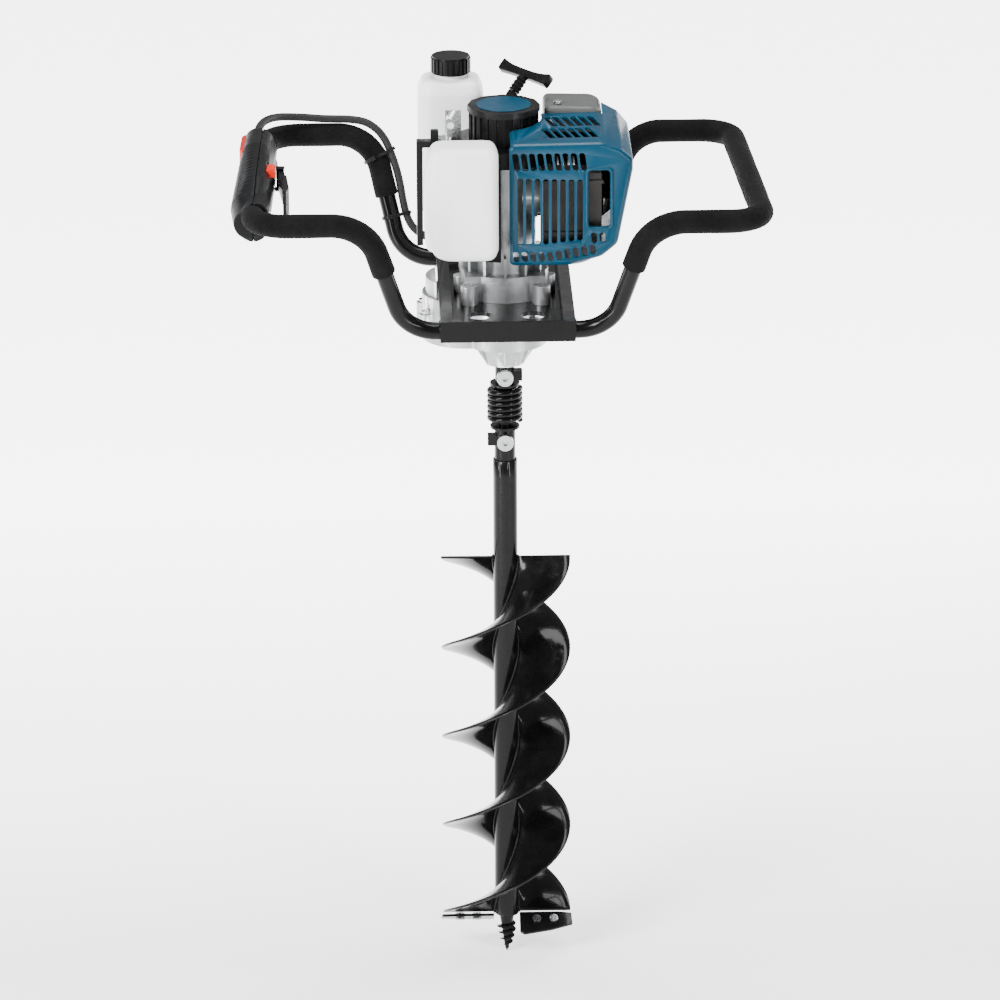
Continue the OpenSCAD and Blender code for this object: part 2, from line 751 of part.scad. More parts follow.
module cover_body(inset) {
  rotate([90, 0, 0]) translate([0, 0, -cover_rear_y - (inset > 0 ? 1 : 0)])
    linear_extrude(cover_rear_y - cover_front_y - inset + (inset > 0 ? 1 : 0))
      polygon(inset > 0 ? cover_inner : cover_outline);
}
cover_inner = [[-1, 875], [71.5, 875], [106.5, 884.8], [123.3, 898.8], [140, 984.5],
  [140, 998.9], [128.4, 1013.2], [107.5, 1025], [-1, 1023]];

// slots in the front of the cover, in rows
module front_slots() {
  for (i = [0:8]) translate([10 + i * 9.4, cover_front_y - 5, 985])
    cube([5, 12, 25]);
  for (i = [0:7]) translate([13 + i * 9.6, cover_front_y - 5, 897])
    cube([5.4, 12, 79]);
  for (i = [0:9]) translate([9 + i * 9.6, cover_front_y - 5, 877 + max(0, i - 5) * 1.6])
    cube([5.4, 12, 11]);
}

module top_slots() {
  for (j = [0:1]) for (i = [0:5]) translate([52 + i * 10 - j * 2, -78 + j * 34, 1005])
    rotate([0, 0, -18]) cube([5.5, 26, 30]);
}

module engine_cover() {
  color("#0a6ea3") difference() {
    cover_body(0);
    cover_body(cover_wall);
    front_slots();
    top_slots();
    translate([93, cover_front_y - 5, 918]) cube([24, 12, 66]);
    translate([0, 0, 860]) cylinder(r = shroud_r + 1.2, h = starter_low_z - 860 + 1);
    translate([0, 0, starter_low_z]) cylinder(r = 43, h = 60);
    translate([-5, 8, 1000]) cube([117, 60, 40]);
  }
}

module top_cover() {
  color("#8d9092") difference() {
    translate([46, 8.4, 1001]) cube([65.6, 62, 30]);
    translate([49, 11.4, 1000]) cube([59.6, 56, 28]);
    translate([0, 0, 990]) cylinder(r = 61.2, h = 7);
    translate([62, 22, 1020]) cylinder(r = 2.6, h = 20);
  }
}

// pan-head screw with its shank down
module screw(r, h) {
  cylinder(r = r * 2, h = r * 1.4);
  translate([0, 0, -h]) cylinder(r = r, h = h);
}

module screws() {
  color("#c9cbcd") {
    for (p = case_bolts) translate(p + [0, 0, case_split_z + 10.05]) screw(2.5, 19.5);
    for (s = [-1, 1]) for (t = [-1, 1])
      translate([s * 41, t * 48, plate_top_z + 18.05]) screw(2.7, 22);
    translate([62, 22, 1031.05]) screw(2.4, 3);
  }
}

// ---------- recoil starter ----------
module starter_housing() {
  color("#1a1b1d") difference() {
    union() {
      translate([0, 0, starter_low_z]) cylinder(r = starter_r, h = 36);
      translate([0, 0, 1030]) cylinder(r = starter_r + 3.3, h = 7, $fn = 12);
      for (a = [0:15:345]) rotate([0, 0, a]) translate([starter_r - 1, -1, starter_low_z])
        cube([2.6, 2, 34.5]);
      along(guide_mouth - 18 * pull_dir, pull_dir) cylinder(r = 6, h = 18);
    }
    translate([0, 0, starter_low_z - 1]) cylinder(r = 34.5, h = 35);
    along(guide_mouth - 34 * pull_dir, pull_dir) cylinder(r = 2.6, h = 40);
  }
}

module starter_badge() {
  color("#0d6fa6") translate([0, 0, starter_top_z]) cylinder(r = 31, h = 0.8, $fn = 96);
}

module starter_reel() {
  color("#3a3b3d") difference() {
    union() {
      translate([0, 0, 1002]) cylinder(r = 32, h = 2.5);
      translate([0, 0, 1002]) cylinder(r = 24, h = 16);
      translate([0, 0, 1015.5]) cylinder(r = 32, h = 2.5);
      translate([0, 0, 1018]) cylinder(r = 7, h = 10);
    }
    translate([0, 0, 1000]) cylinder(r = 10, h = 10);
  }
}

// flat spiral spring, as one strip
function spiral(r0, r1, turns, a) = let (f = a / (360 * turns), r = r0 + (r1 - r0) * f)
  r * [cos(a), sin(a)];
module rewind_spring() {
  color("#6b6e72") translate([0, 0, 1019]) linear_extrude(8)
    polygon(concat([for (a = [0:15:1800]) spiral(9, 30, 5, a)],
      [for (a = [1800:-15:0]) spiral(10.6, 31.6, 5, a)]));
}

module starter_rope() {
  color("#2a2a2c") {
    translate([0, 0, 1005]) ring(31, 24.4, 10);
    swept_rod(route_through(rope_route), rope_r, 8);
  }
}

bar_dir = [0.7, -0.7, -0.081];
module starter_handle() {
  top = guide_mouth + 26 * pull_dir;
  color("#17181a") difference() {
    union() {
      along(guide_mouth + 1.5 * pull_dir, pull_dir) cylinder(r1 = 6, r2 = 5, h = 24);
      for (i = [0:3]) along(guide_mouth + (3 + i * 5) * pull_dir, pull_dir)
        cylinder(r = 7, h = 2.2);
      hull() {
        along(top - 30 * bar_dir, bar_dir) cylinder(r = 6, h = 60, $fn = 32);
        along(top - 36 * bar_dir + 2 * pull_dir, bar_dir) cylinder(r = 6.8, h = 3, $fn = 32);
        along(top + 33 * bar_dir + 2 * pull_dir, bar_dir) cylinder(r = 6.8, h = 3, $fn = 32);
      }
    }
    along(guide_mouth, pull_dir) cylinder(r = 2.4, h = 14);
  }
}

// ---------- fuel tank ----------
// rectangle with a corner radius for each corner, from the low left one round
function arc_points(c, r, a0) = [for (k = [0:6]) c + r * [cos(a0 + k * 15), sin(a0 + k * 15)]];
function rounded_outline(lo, hi, r) = concat(
  arc_points([lo[0] + r[0], lo[1] + r[0]], r[0], 180),
  arc_points([hi[0] - r[1], lo[1] + r[1]], r[1], 270),
  arc_points([hi[0] - r[2], hi[1] - r[2]], r[2], 0),
  arc_points([lo[0] + r[3], hi[1] - r[3]], r[3], 90));

// tank lobe: a rounded front outline run from y0 to y1
module lobe(lo, hi, r, y0, y1) {
  translate([0, y1, 0]) rotate([90, 0, 0]) linear_extrude(y1 - y0)
    polygon(rounded_outline(lo, hi, r));
}

neck_pos = [-58, 88, 0];
module fuel_tank() {
  color("#eef0ee") {
    lobe([-92, 886], [-9, 1018], [26, 12, 10, 16], -122, -66);
    lobe([-91, 888], [-66, 948], [8, 8, 8, 8], -67, 58);
    lobe([-96, 886], [-21, 1046], [14, 14, 20, 20], 57, 124);
    translate(neck_pos + [0, 0, 1045]) difference() {
      cylinder(r = 17, h = 11);
      translate([0, 0, 4]) cylinder(r = 14, h = 20);
    }
  }
}

module cap_seal() {
  color("#202021") translate(neck_pos + [0, 0, 1056.2]) cylinder(r = 16.5, h = 1.6);
}

module fuel_cap() {
  color("#161617") translate(neck_pos + [0, 0, 1051]) difference() {
    union() {
      cylinder(r = 21.5, h = 20);
      for (a = [0:15:345]) rotate([0, 0, a]) translate([20.6, -1.6, 1]) cube([2.2, 3.2, 17]);
    }
    translate([0, 0, -1]) cylinder(r = 17.3, h = 8.2);
  }
}

module tank_strap() {
  color("#141415") {
    translate([-100, -62, 890]) cube([7, 14, 122]);
    translate([-100, -62, 1005]) cube([28, 14, 7]);
    translate([-84, -60, 1012]) cube([9, 10, 12]);
  }
}

module tank_bracket() {
  color("#a7aaad") difference() {
    union() {
      translate([-74, 8, 952]) cube([12.4, 3, 47]);
      translate([-66, 8, starter_low_z + 0.4]) cube([18, 3, 31.6]);
      translate([-74, -47.8, 950]) cube([12, 58, 3]);
    }
    translate([-60, 20, 1010]) rotate([90, 0, 0]) cylinder(r = 4, h = 20);
  }
}

// ---------- coupling ----------
module cross_bolt(z) {
  translate([0, 0, z]) rotate([90, 0, 0]) {
    translate([0, 0, -17]) cylinder(r = 4, h = 31);
    translate([0, 0, 12.2]) difference() {
      cylinder(r = 9.5, h = 7);
      translate([0, 0, 3]) cylinder(r = 3.5, h = 6, $fn = 6);
    }
    translate([0, 0, -19]) cylinder(r = 8, h = 6.8, $fn = 6);
  }
}

module upper_socket() {
  color("#1c1c1d") difference() {
    union() {
      translate([0, 0, spring_top_z + 0.5]) cylinder(r = 11, h = 23.3);
      translate([0, 0, spring_top_z - 20]) cylinder(r = 8.5, h = 22);
      translate([0, 0, spring_top_z + 0.5]) cylinder(r = 17, h = 3);
      translate([4, -8, upper_bolt_z - 6]) cube([16, 12, 12]);
    }
    translate([0, 0, 703.9]) cylinder(r = 8.05, h = 22.1);
    translate([0, 0, 723.9]) cylinder(r = 10.05, h = 6);
    translate([0, 0, upper_bolt_z]) rotate([90, 0, 0]) cylinder(r = 4.05, h = 60, center = true);
    for (s = [0, 1]) translate([-10, s > 0 ? 12.1 : -22.1, upper_bolt_z - 9.6])
      cube([20, 10, 20]);
  }
}

spring_turns = 6;
spring_steps = 20;
module damper_spring() {
  r = (spring_d - spring_wire) / 2;
  rise = spring_top_z - spring_low_z - spring_wire;
  route = [for (i = [0:spring_turns * spring_steps]) let (a = 360 * i / spring_steps)
    [r * cos(a), r * sin(a),
      spring_low_z + spring_wire / 2 + rise * i / (spring_turns * spring_steps)]];
  color("#161617") swept_rod(route_through(route), spring_wire / 2, 8);
}

module lower_socket() {
  color("#1c1c1d") difference() {
    union() {
      translate([0, 0, auger_tube_top_z - 60]) cylinder(r = auger_tube_d / 2 - 2.1, h = 60);
      translate([0, 0, auger_tube_top_z]) cylinder(r = 12, h = spring_low_z - auger_tube_top_z - 3);
      translate([0, 0, spring_low_z - 5]) cylinder(r = 17, h = 2.6);
      translate([0, 0, spring_low_z - 3]) cylinder(r = 8.5, h = 18);
      translate([-20, -8, lower_bolt_z - 6]) cube([16, 12, 12]);
    }
    translate([0, 0, lower_bolt_z]) rotate([90, 0, 0]) cylinder(r = 4.05, h = 60, center = true);
    for (s = [0, 1]) translate([-10, s > 0 ? 12.1 : -22.1, lower_bolt_z - 9.6])
      cube([20, 10, 20]);
  }
}

module upper_bolt() {
  color("#c4c6c8") cross_bolt(upper_bolt_z);
}

// ---------- auger ----------
module auger_tube() {
  color("#121213") translate([0, 0, point_top_z]) difference() {
    cylinder(r = auger_tube_d / 2, h = auger_tube_top_z - point_top_z);
    translate([0, 0, 8]) cylinder(r = auger_tube_d / 2 - 2, h = auger_tube_top_z);
  }
}

flight_turns = 2;
module flight(phase) {
  steps = 45 * flight_turns;
  r0 = auger_tube_d / 2 + 0.1;
  r1 = auger_d / 2;
  rise = flight_top_z - flight_low_z;
  pts = [for (i = [0:steps]) let (a = phase + 360 * flight_turns * i / steps,
    z = flight_low_z + (rise - flight_t) * i / steps)
    each [[r0 * cos(a), r0 * sin(a), z], [r1 * cos(a), r1 * sin(a), z],
    [r1 * cos(a), r1 * sin(a), z + flight_t], [r0 * cos(a), r0 * sin(a), z + flight_t]]];
  faces = concat([[0, 1, 2, 3]],
    [for (i = [0:steps - 1]) for (k = [0:3]) let (j = (k + 1) % 4)
      each [[4 * i + k, 4 * i + 4 + k, 4 * i + 4 + j], [4 * i + k, 4 * i + 4 + j, 4 * i + j]]],
    [[4 * steps + 3, 4 * steps + 2, 4 * steps + 1, 4 * steps]]);
  polyhedron(pts, faces);
}

module auger_flights() {
  color("#101011") {
    flight(0);
    flight(180);
  }
}

blade_outline = [[15, 2], [60, 2], [76, 0], [77, -16], [52, -24], [20, -30], [15, -26]];
module cutting_blades() {
  color("#19191a") for (a = [0, 180]) rotate([0, 0, a]) translate([0, 0, 46.5])
    rotate([30, 0, 0]) translate([0, 0, -3]) difference() {
      linear_extrude(3.2) polygon(blade_outline);
      for (x = [35, 55]) translate([x, -9, -1]) cylinder(r = 3.1, h = 8);
    }
}

module auger_bolts() {
  color("#c4c6c8") {
    cross_bolt(lower_bolt_z);
    for (a = [0, 180]) rotate([0, 0, a]) translate([0, 0, 46.5]) rotate([30, 0, 0])
      for (x = [35, 55]) translate([x, -9, -5.6]) {
        cylinder(r = 3, h = 8);
        cylinder(r = 5.5, h = 2.5, $fn = 6);
        translate([0, 0, 5.9]) cylinder(r = 5.2, h = 2.4);
      }
  }
}

module pilot_point() {
  color("#151516") {
    cylinder(r1 = 0.6, r2 = 3.6, h = 12);
    translate([0, 0, 12]) cylinder(r1 = 3.6, r2 = 9, h = point_top_z - 12);
    for (i = [0:3]) translate([0, 0, 8 + i * 7]) cylinder(r1 = 3.4 + i, r2 = 6.4 + i, h = 1.8);
  }
}

left_frame_tube();
right_frame_tube();
engine_plate();
left_foams();
right_foam();
housing_outer();
housing_inner();
throttle_trigger();
lockout_lever();
stop_switch();
throttle_cable();
cable_ties();
upper_gear_case();
lower_gear_case();
bearings();
output_shaft();
output_gear();
counter_shaft();
counter_gear();
clutch_drum();
clutch_housing();
clutch_shoes();
crankcase();
crankshaft();
connecting_rod();
piston();
cylinder_block();
spark_plug();
plug_boot();
muffler();
carburettor();
throttle_arm();
air_filter_box();
choke_lever();
primer_bulb();
flywheel();
fan_shroud();
engine_cover();
top_cover();
screws();
starter_housing();
starter_badge();
starter_reel();
rewind_spring();
starter_rope();
starter_handle();
fuel_tank();
fuel_cap();
cap_seal();
tank_strap();
tank_bracket();
upper_socket();
damper_spring();
lower_socket();
upper_bolt();
auger_bolts();
auger_tube();
auger_flights();
cutting_blades();
pilot_point();
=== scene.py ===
"""Looks for the engine-driven auger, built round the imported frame. All sizes are in metres."""
import json
import math
import bmesh
import bpy
import numpy as np
from mathutils import Matrix, Vector
from mathutils.bvhtree import BVHTree


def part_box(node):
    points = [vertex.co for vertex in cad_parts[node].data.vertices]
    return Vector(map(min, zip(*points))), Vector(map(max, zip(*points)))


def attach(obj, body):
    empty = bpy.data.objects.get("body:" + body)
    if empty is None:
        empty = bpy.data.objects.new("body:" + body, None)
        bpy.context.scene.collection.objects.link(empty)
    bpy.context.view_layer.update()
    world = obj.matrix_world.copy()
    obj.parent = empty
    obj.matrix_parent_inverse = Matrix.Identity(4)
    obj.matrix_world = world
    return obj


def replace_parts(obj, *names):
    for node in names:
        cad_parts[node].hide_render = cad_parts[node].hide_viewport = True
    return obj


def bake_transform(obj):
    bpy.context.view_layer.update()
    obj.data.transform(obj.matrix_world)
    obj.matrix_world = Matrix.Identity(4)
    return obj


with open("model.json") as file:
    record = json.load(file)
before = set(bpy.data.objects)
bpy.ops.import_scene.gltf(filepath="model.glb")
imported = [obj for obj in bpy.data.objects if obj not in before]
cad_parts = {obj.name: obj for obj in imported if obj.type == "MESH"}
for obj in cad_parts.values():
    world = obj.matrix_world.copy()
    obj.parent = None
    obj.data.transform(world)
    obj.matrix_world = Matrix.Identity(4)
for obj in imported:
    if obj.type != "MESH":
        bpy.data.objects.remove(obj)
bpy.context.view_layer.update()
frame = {"nodes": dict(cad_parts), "record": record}

NODES = frame["nodes"]
RECORD = frame["record"]
BODY_OF = {n: b for b, ns in RECORD["behaviour"]["bodies"].items() for n in ns}
SLOT_OF = {s["node"]: s["material_slot"] for s in RECORD["subparts"]}
MM = 0.001


# ---------- camera ----------
def add_camera():
    """Long lens at the operator's side, slightly above, aimed at the machine's middle."""
    distance, azimuth, elevation, roll = 8.0, -1.5, 19.3, 0.25
    target = Vector((-0.006, 0.0, 0.5628))
    a, e, r = (math.radians(v) for v in (azimuth, elevation, roll))
    back = Vector((math.sin(a) * math.cos(e), -math.cos(a) * math.cos(e), math.sin(e)))
    right = Vector((math.cos(a), math.sin(a), 0.0))
    up = back.cross(right)
    right, up = (math.cos(r) * right - math.sin(r) * up, math.sin(r) * right + math.cos(r) * up)
    data = bpy.data.cameras.new("camera")
    data.lens, data.sensor_width = 249.57, 36.0
    data.clip_start, data.clip_end = 0.5, 60.0
    camera = bpy.data.objects.new("camera", data)
    camera.matrix_world = Matrix.Translation(target + distance * back) @ Matrix(
        (right, up, back)).transposed().to_4x4()
    bpy.context.scene.collection.objects.link(camera)
    bpy.context.scene.camera = camera


add_camera()


# ---------- materials ----------
class Shader:
    """A material and short calls that add nodes to it."""

    def __init__(self, name):
        self.material = bpy.data.materials.new(name)
        self.material.use_nodes = True
        self.nodes = self.material.node_tree.nodes
        self.links = self.material.node_tree.links
        self.bsdf = self.nodes["Principled BSDF"]
        self.place = self.nodes.new("ShaderNodeTexCoord").outputs["Object"]

    def set(self, **values):
        for key, value in values.items():
            self.bsdf.inputs[key.replace("_", " ")].default_value = value
        return self

    def stretched(self, scale):
        """Coordinates scaled apart on each axis."""
        node = self.nodes.new("ShaderNodeMapping")
        node.inputs["Scale"].default_value = scale
        self.links.new(self.place, node.inputs["Vector"])
        return node.outputs["Vector"]

    def noise(self, scale, detail=4.0, rough=0.55, vector=None):
        node = self.nodes.new("ShaderNodeTexNoise")
        node.inputs["Scale"].default_value = scale
        node.inputs["Detail"].default_value = detail
        node.inputs["Roughness"].default_value = rough
        self.links.new(vector or self.place, node.inputs["Vector"])
        return node.outputs["Fac"]

    def cells(self, scale, feature="F1"):
        node = self.nodes.new("ShaderNodeTexVoronoi")
        node.feature = feature
        node.inputs["Scale"].default_value = scale
        self.links.new(self.place, node.inputs["Vector"])
        return node.outputs["Distance"]

    def span(self, value, low, high, from_low=0.3, from_high=0.7):
        """value remapped so that it runs from low to high."""
        node = self.nodes.new("ShaderNodeMapRange")
        node.inputs["From Min"].default_value = from_low
        node.inputs["From Max"].default_value = from_high
        node.inputs["To Min"].default_value = low
        node.inputs["To Max"].default_value = high
        self.links.new(value, node.inputs["Value"])
        return node.outputs["Result"]

    def tint(self, factor, color_a, color_b):
        """Base colour that runs between two colours."""
        node = self.nodes.new("ShaderNodeMix")
        node.data_type = "RGBA"
        self.links.new(factor, node.inputs["Factor"])
        for socket, color in ((node.inputs[6], color_a), (node.inputs[7], color_b)):
            if isinstance(color, tuple):
                socket.default_value = (*color, 1.0)
            else:
                self.links.new(color, socket)
        return node.outputs[2]

    def base(self, color):
        self.links.new(color, self.bsdf.inputs["Base Color"])
        return self

    def roughness(self, value):
        self.links.new(value, self.bsdf.inputs["Roughness"])
        return self

    def bump(self, height, distance, strength=1.0, below=None):
        node = self.nodes.new("ShaderNodeBump")
        node.inputs["Strength"].default_value = strength
        node.inputs["Distance"].default_value = distance
        self.links.new(height, node.inputs["Height"])
        if below is not None:
            self.links.new(below, node.inputs["Normal"])
        self.links.new(node.outputs["Normal"], self.bsdf.inputs["Normal"])
        return node.outputs["Normal"]

    def edges(self):
        """1 on worn convex edges, 0 elsewhere."""
        point = self.nodes.new("ShaderNodeNewGeometry").outputs["Pointiness"]
        return self.span(point, 0.0, 1.0, 0.53, 0.62)


def gloss_paint(name, base, worn, rough):
    """Powder coat or enamel: orange peel, faint dust and lighter edges."""
    s = Shader(name).set(Metallic=0.0, Coat_Weight=0.12, Coat_Roughness=0.05,
                         Specular_IOR_Level=0.08)
    dust = s.noise(38.0, 6.0, 0.62)
    s.base(s.tint(s.edges(), s.tint(s.span(dust, 0.0, 1.0), base,
                                    tuple(v * 1.7 + 0.002 for v in base)), worn))
    s.roughness(s.span(s.noise(70.0, 5.0), rough, rough + 0.13))
    peel = s.bump(s.noise(420.0, 2.0), 0.00012, 0.35)
    s.bump(s.cells(900.0), 0.00004, 0.25, below=peel)
    return s.material


def moulded(name, base, rough, grain=1500.0, depth=0.00007, coat=0.0, lift=1.5, shine=0.22):
    """Injection-moulded plastic: spark-eroded grain, slow colour drift, scuffed edges."""
    s = Shader(name).set(Coat_Weight=coat, Coat_Roughness=0.15, Specular_IOR_Level=shine)
    drift = s.span(s.noise(26.0, 5.0), 0.0, 1.0)
    light = tuple(min(1.0, v * lift + 0.001) for v in base)
    worn = tuple(min(1.0, v * lift * 1.25 + 0.005) for v in base)
    s.base(s.tint(s.edges(), s.tint(drift, base, light), worn))
    s.roughness(s.span(s.noise(110.0, 6.0), rough, rough + 0.14))
    grain_bump = s.bump(s.noise(grain, 3.0), depth, 0.6)
    s.bump(s.noise(90.0, 2.0), 0.00015, 0.12, below=grain_bump)
    return s.material


def foam(name):
    """Closed-cell foam sleeve: fine open cells, soft sheen, handling marks."""
    s = Shader(name).set(Sheen_Weight=0.01, Sheen_Roughness=0.6, Specular_IOR_Level=0.05)
    patches = s.span(s.noise(30.0, 6.0, 0.6), 0.0, 1.0)
    s.base(s.tint(patches, (0.0022, 0.0022, 0.0024), (0.0052, 0.0052, 0.0055)))
    s.roughness(s.span(s.noise(160.0, 4.0), 0.72, 0.92))
    skin = s.bump(s.cells(1300.0), 0.00028, 0.75)
    s.bump(s.noise(240.0, 5.0), 0.0004, 0.25, below=skin)
    return s.material


def cast_metal(name, base, rough, depth=0.00022):
    """Die-cast alloy: bright sand-like skin with darker pits and polished edges."""
    s = Shader(name).set(Metallic=0.85)
    stain = s.span(s.noise(45.0, 7.0, 0.65), 0.0, 1.0)
    dark = tuple(v * 0.72 for v in base)
    s.base(s.tint(s.edges(), s.tint(stain, dark, base), (0.92, 0.92, 0.93)))
    s.roughness(s.span(s.noise(150.0, 5.0), rough, rough + 0.2))
    skin = s.bump(s.noise(620.0, 6.0, 0.7), depth, 0.7)
    s.bump(s.cells(420.0), 0.00012, 0.3, below=skin)
    return s.material


def machined(name, base, rough, streak=(60.0, 60.0, 2600.0)):
    """Turned or ground metal: fine lines round the axis and a thin oil film."""
    s = Shader(name).set(Metallic=1.0, Anisotropic=0.35)
    lines = s.noise(1.0, 3.0, 0.5, s.stretched(streak))
    film = s.span(s.noise(55.0, 4.0), 0.0, 1.0)
    s.base(s.tint(film, tuple(v * 0.82 for v in base), base))
    s.roughness(s.span(lines, rough, rough + 0.18))
    s.bump(lines, 0.00003, 0.6)
    return s.material


def tank_plastic(name):
    """Blow-moulded polyethylene: milky, waxy, faintly uneven."""
    s = Shader(name).set(Subsurface_Weight=0.35, Subsurface_Scale=0.012,
                         Subsurface_Radius=(1.0, 1.0, 1.0), Specular_IOR_Level=0.42,
                         Coat_Weight=0.12, Coat_Roughness=0.2)
    cloud = s.span(s.noise(14.0, 4.0), 0.0, 1.0)
    s.base(s.tint(cloud, (0.80, 0.815, 0.81), (0.90, 0.91, 0.905)))
    s.roughness(s.span(s.noise(60.0, 5.0), 0.3, 0.45))
    skin = s.bump(s.noise(35.0, 3.0), 0.0006, 0.22)
    s.bump(s.noise(900.0, 3.0), 0.00005, 0.4, below=skin)
    return s.material


def braid(name, base):
    """Braided cord: strands from a cell pattern."""
    s = Shader(name).set(Sheen_Weight=0.3, Sheen_Roughness=0.5)
    strands = s.cells(1100.0)
    s.base(s.tint(s.span(strands, 0.0, 1.0, 0.0, 0.6), base, tuple(v * 3.0 for v in base)))
    s.set(Roughness=0.8)
    s.bump(strands, 0.0004, 0.8)
    return s.material


def clear_rubber(name, base):
    s = Shader(name).set(Roughness=0.25, Transmission_Weight=0.45, IOR=1.45)
    s.base(s.tint(s.span(s.noise(60.0), 0.0, 1.0), base, tuple(v * 1.3 for v in base)))
    s.bump(s.noise(300.0), 0.0001, 0.3)
    return s.material


def shade_dark_steel(name):
    """Muffler sheet steel, near-black with a faint warm drift: the darkness is painted shade for the
    parts seen inside the cover.
    """
    s = Shader(name).set(Metallic=0.9)
    # painted shade: both greys are kept near black so the muffler behind the slots reads as shaded
    s.base(s.tint(s.span(s.noise(30.0, 6.0), 0.0, 1.0), (0.016, 0.0145, 0.013), (0.042, 0.04, 0.038)))
    s.roughness(s.span(s.noise(120.0, 5.0), 0.35, 0.6))
    s.bump(s.noise(500.0, 4.0), 0.0001, 0.5)
    return s.material


MATERIALS = {
    "gloss_black_paint": gloss_paint("gloss_black_paint", (0.0012, 0.0012, 0.0013),
                                     (0.005, 0.005, 0.0053), 0.14),
    "auger_paint": gloss_paint("auger_paint", (0.002, 0.002, 0.0022),
                               (0.016, 0.016, 0.016), 0.1),
    "foam": foam("foam"),
    "black_plastic": moulded("black_plastic", (0.0018, 0.0018, 0.002), 0.26, shine=0.14),
    "grip_plastic": moulded("grip_plastic", (0.003, 0.0032, 0.0036), 0.34, depth=0.0001, shine=0.12),
    "red_plastic": moulded("red_plastic", (0.42, 0.003, 0.002), 0.28, lift=1.05),
    "orange_plastic": moulded("orange_plastic", (0.5, 0.014, 0.002), 0.3, lift=1.05),
    "cast_alloy": cast_metal("cast_alloy", (0.42, 0.43, 0.44), 0.28),
    "machined_steel": machined("machined_steel", (0.62, 0.62, 0.63), 0.22),
    "gear_steel": machined("gear_steel", (0.45, 0.45, 0.46), 0.3),
    "zinc_steel": machined("zinc_steel", (0.5, 0.51, 0.52), 0.2, (500.0, 500.0, 500.0)),
    "blue_plastic": moulded("blue_plastic", (0.0, 0.031, 0.06), 0.28, depth=0.00005,
                            coat=0.1, lift=1.15, shine=0.16),
    "grey_plastic": moulded("grey_plastic", (0.06, 0.062, 0.062), 0.36, lift=1.2),
    "tank_plastic": tank_plastic("tank_plastic"),
    # near-black sheet steel: painted shade for the muffler inside the cover
    "sheet_steel": shade_dark_steel("sheet_steel"),
    "seal_rubber": moulded("seal_rubber", (0.008, 0.008, 0.008), 0.5, depth=0.0001),
    "friction": cast_metal("friction", (0.12, 0.11, 0.10), 0.6),
    "brass": machined("brass", (0.66, 0.5, 0.25), 0.25),
    "rope": braid("rope", (0.012, 0.012, 0.012)),
    "primer_rubber": clear_rubber("primer_rubber", (0.55, 0.42, 0.16)),
    "ceramic": moulded("ceramic", (0.62, 0.62, 0.6), 0.15, lift=1.1),
}


# ---------- mesh helpers ----------
def link(name, mesh, slot, body, smooth_angle=38.0):
    """A finished piece: object, smooth shading with sharp edges kept, material, slot and body."""
    obj = bpy.data.objects.new(name, mesh)
    bpy.context.scene.collection.objects.link(obj)
    mesh.materials.clear()
    mesh.materials.append(MATERIALS[slot])
    mesh.shade_smooth()
    mesh.set_sharp_from_angle(angle=math.radians(smooth_angle))
    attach(obj, body)
    return obj


def mesh_of(name, verts, faces):
    mesh = bpy.data.meshes.new(name)
    mesh.from_pydata([tuple(v) for v in verts], [], faces)
    bm = bmesh.new()
    bm.from_mesh(mesh)
    bmesh.ops.recalc_face_normals(bm, faces=bm.faces)
    bm.to_mesh(mesh)
    bm.free()
    return mesh


def temp_object(name, mesh):
    obj = bpy.data.objects.new(name, mesh)
    bpy.context.scene.collection.objects.link(obj)
    return obj


def applied(obj):
    """The object's mesh with its modifiers applied; the object is removed."""
    depsgraph = bpy.context.evaluated_depsgraph_get()
    mesh = bpy.data.meshes.new_from_object(obj.evaluated_get(depsgraph))
    bpy.data.objects.remove(obj)
    return mesh


def bevelled(mesh, width, segments=2, angle=30.0, weighted=True):
    """A copy of the mesh with its sharp edges rounded."""
    obj = temp_object("work", mesh)
    mod = obj.modifiers.new("edge", "BEVEL")
    mod.width, mod.segments, mod.limit_method = width, segments, "ANGLE"
    mod.angle_limit = math.radians(angle)
    mod.use_clamp_overlap = True
    mod.miter_outer = "MITER_ARC"
    if weighted:
        obj.modifiers.new("normals", "WEIGHTED_NORMAL")
    return applied(obj)


def copy_of(node):
    """The CAD node's mesh, merged back into large flat faces, ready to be refined."""
    bm = bmesh.new()
    bm.from_mesh(NODES[node].data)
    bmesh.ops.remove_doubles(bm, verts=bm.verts, dist=2e-6)
    bmesh.ops.dissolve_limit(bm, angle_limit=math.radians(0.6), verts=bm.verts, edges=bm.edges)
    mesh = bpy.data.meshes.new(node + "_fine")
    bm.to_mesh(mesh)
    bm.free()
    return mesh


def refine(node, width, segments=2, angle=30.0, slot=None):
    """Stands in for a CAD node: the same shape with its edges rounded."""
    mesh = bevelled(copy_of(node), width, segments, angle)
    piece = link(node + "_fine", mesh, slot or SLOT_OF[node], BODY_OF[node])
    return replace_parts(piece, node)


def remeshed(mesh, voxel, rounds, factor=0.5):
    """The mesh rebuilt from small even faces and relaxed, for soft moulded shapes."""
    obj = temp_object("work", mesh)
    mod = obj.modifiers.new("voxels", "REMESH")
    mod.mode, mod.voxel_size, mod.adaptivity = "VOXEL", voxel, 0.0
    relax = obj.modifiers.new("relax", "SMOOTH")
    relax.iterations, relax.factor = rounds, factor
    return applied(obj)


def cut(mesh, cutters):
    """The mesh less each of the cutter meshes."""
    obj = temp_object("work", mesh)
    tools = []
    for i, cutter in enumerate(cutters):
        tool = temp_object(f"cutter{i}", cutter)
        mod = obj.modifiers.new(f"cut{i}", "BOOLEAN")
        mod.operation, mod.solver, mod.object = "DIFFERENCE", "EXACT", tool
        tools.append(tool)
    result = applied(obj)
    for tool in tools:
        bpy.data.objects.remove(tool)
    return result


def joined(meshes):
    """One mesh that holds them all."""
    bm = bmesh.new()
    for mesh in meshes:
        bm.from_mesh(mesh)
    out = bpy.data.meshes.new("joined")
    bm.to_mesh(out)
    bm.free()
    return out


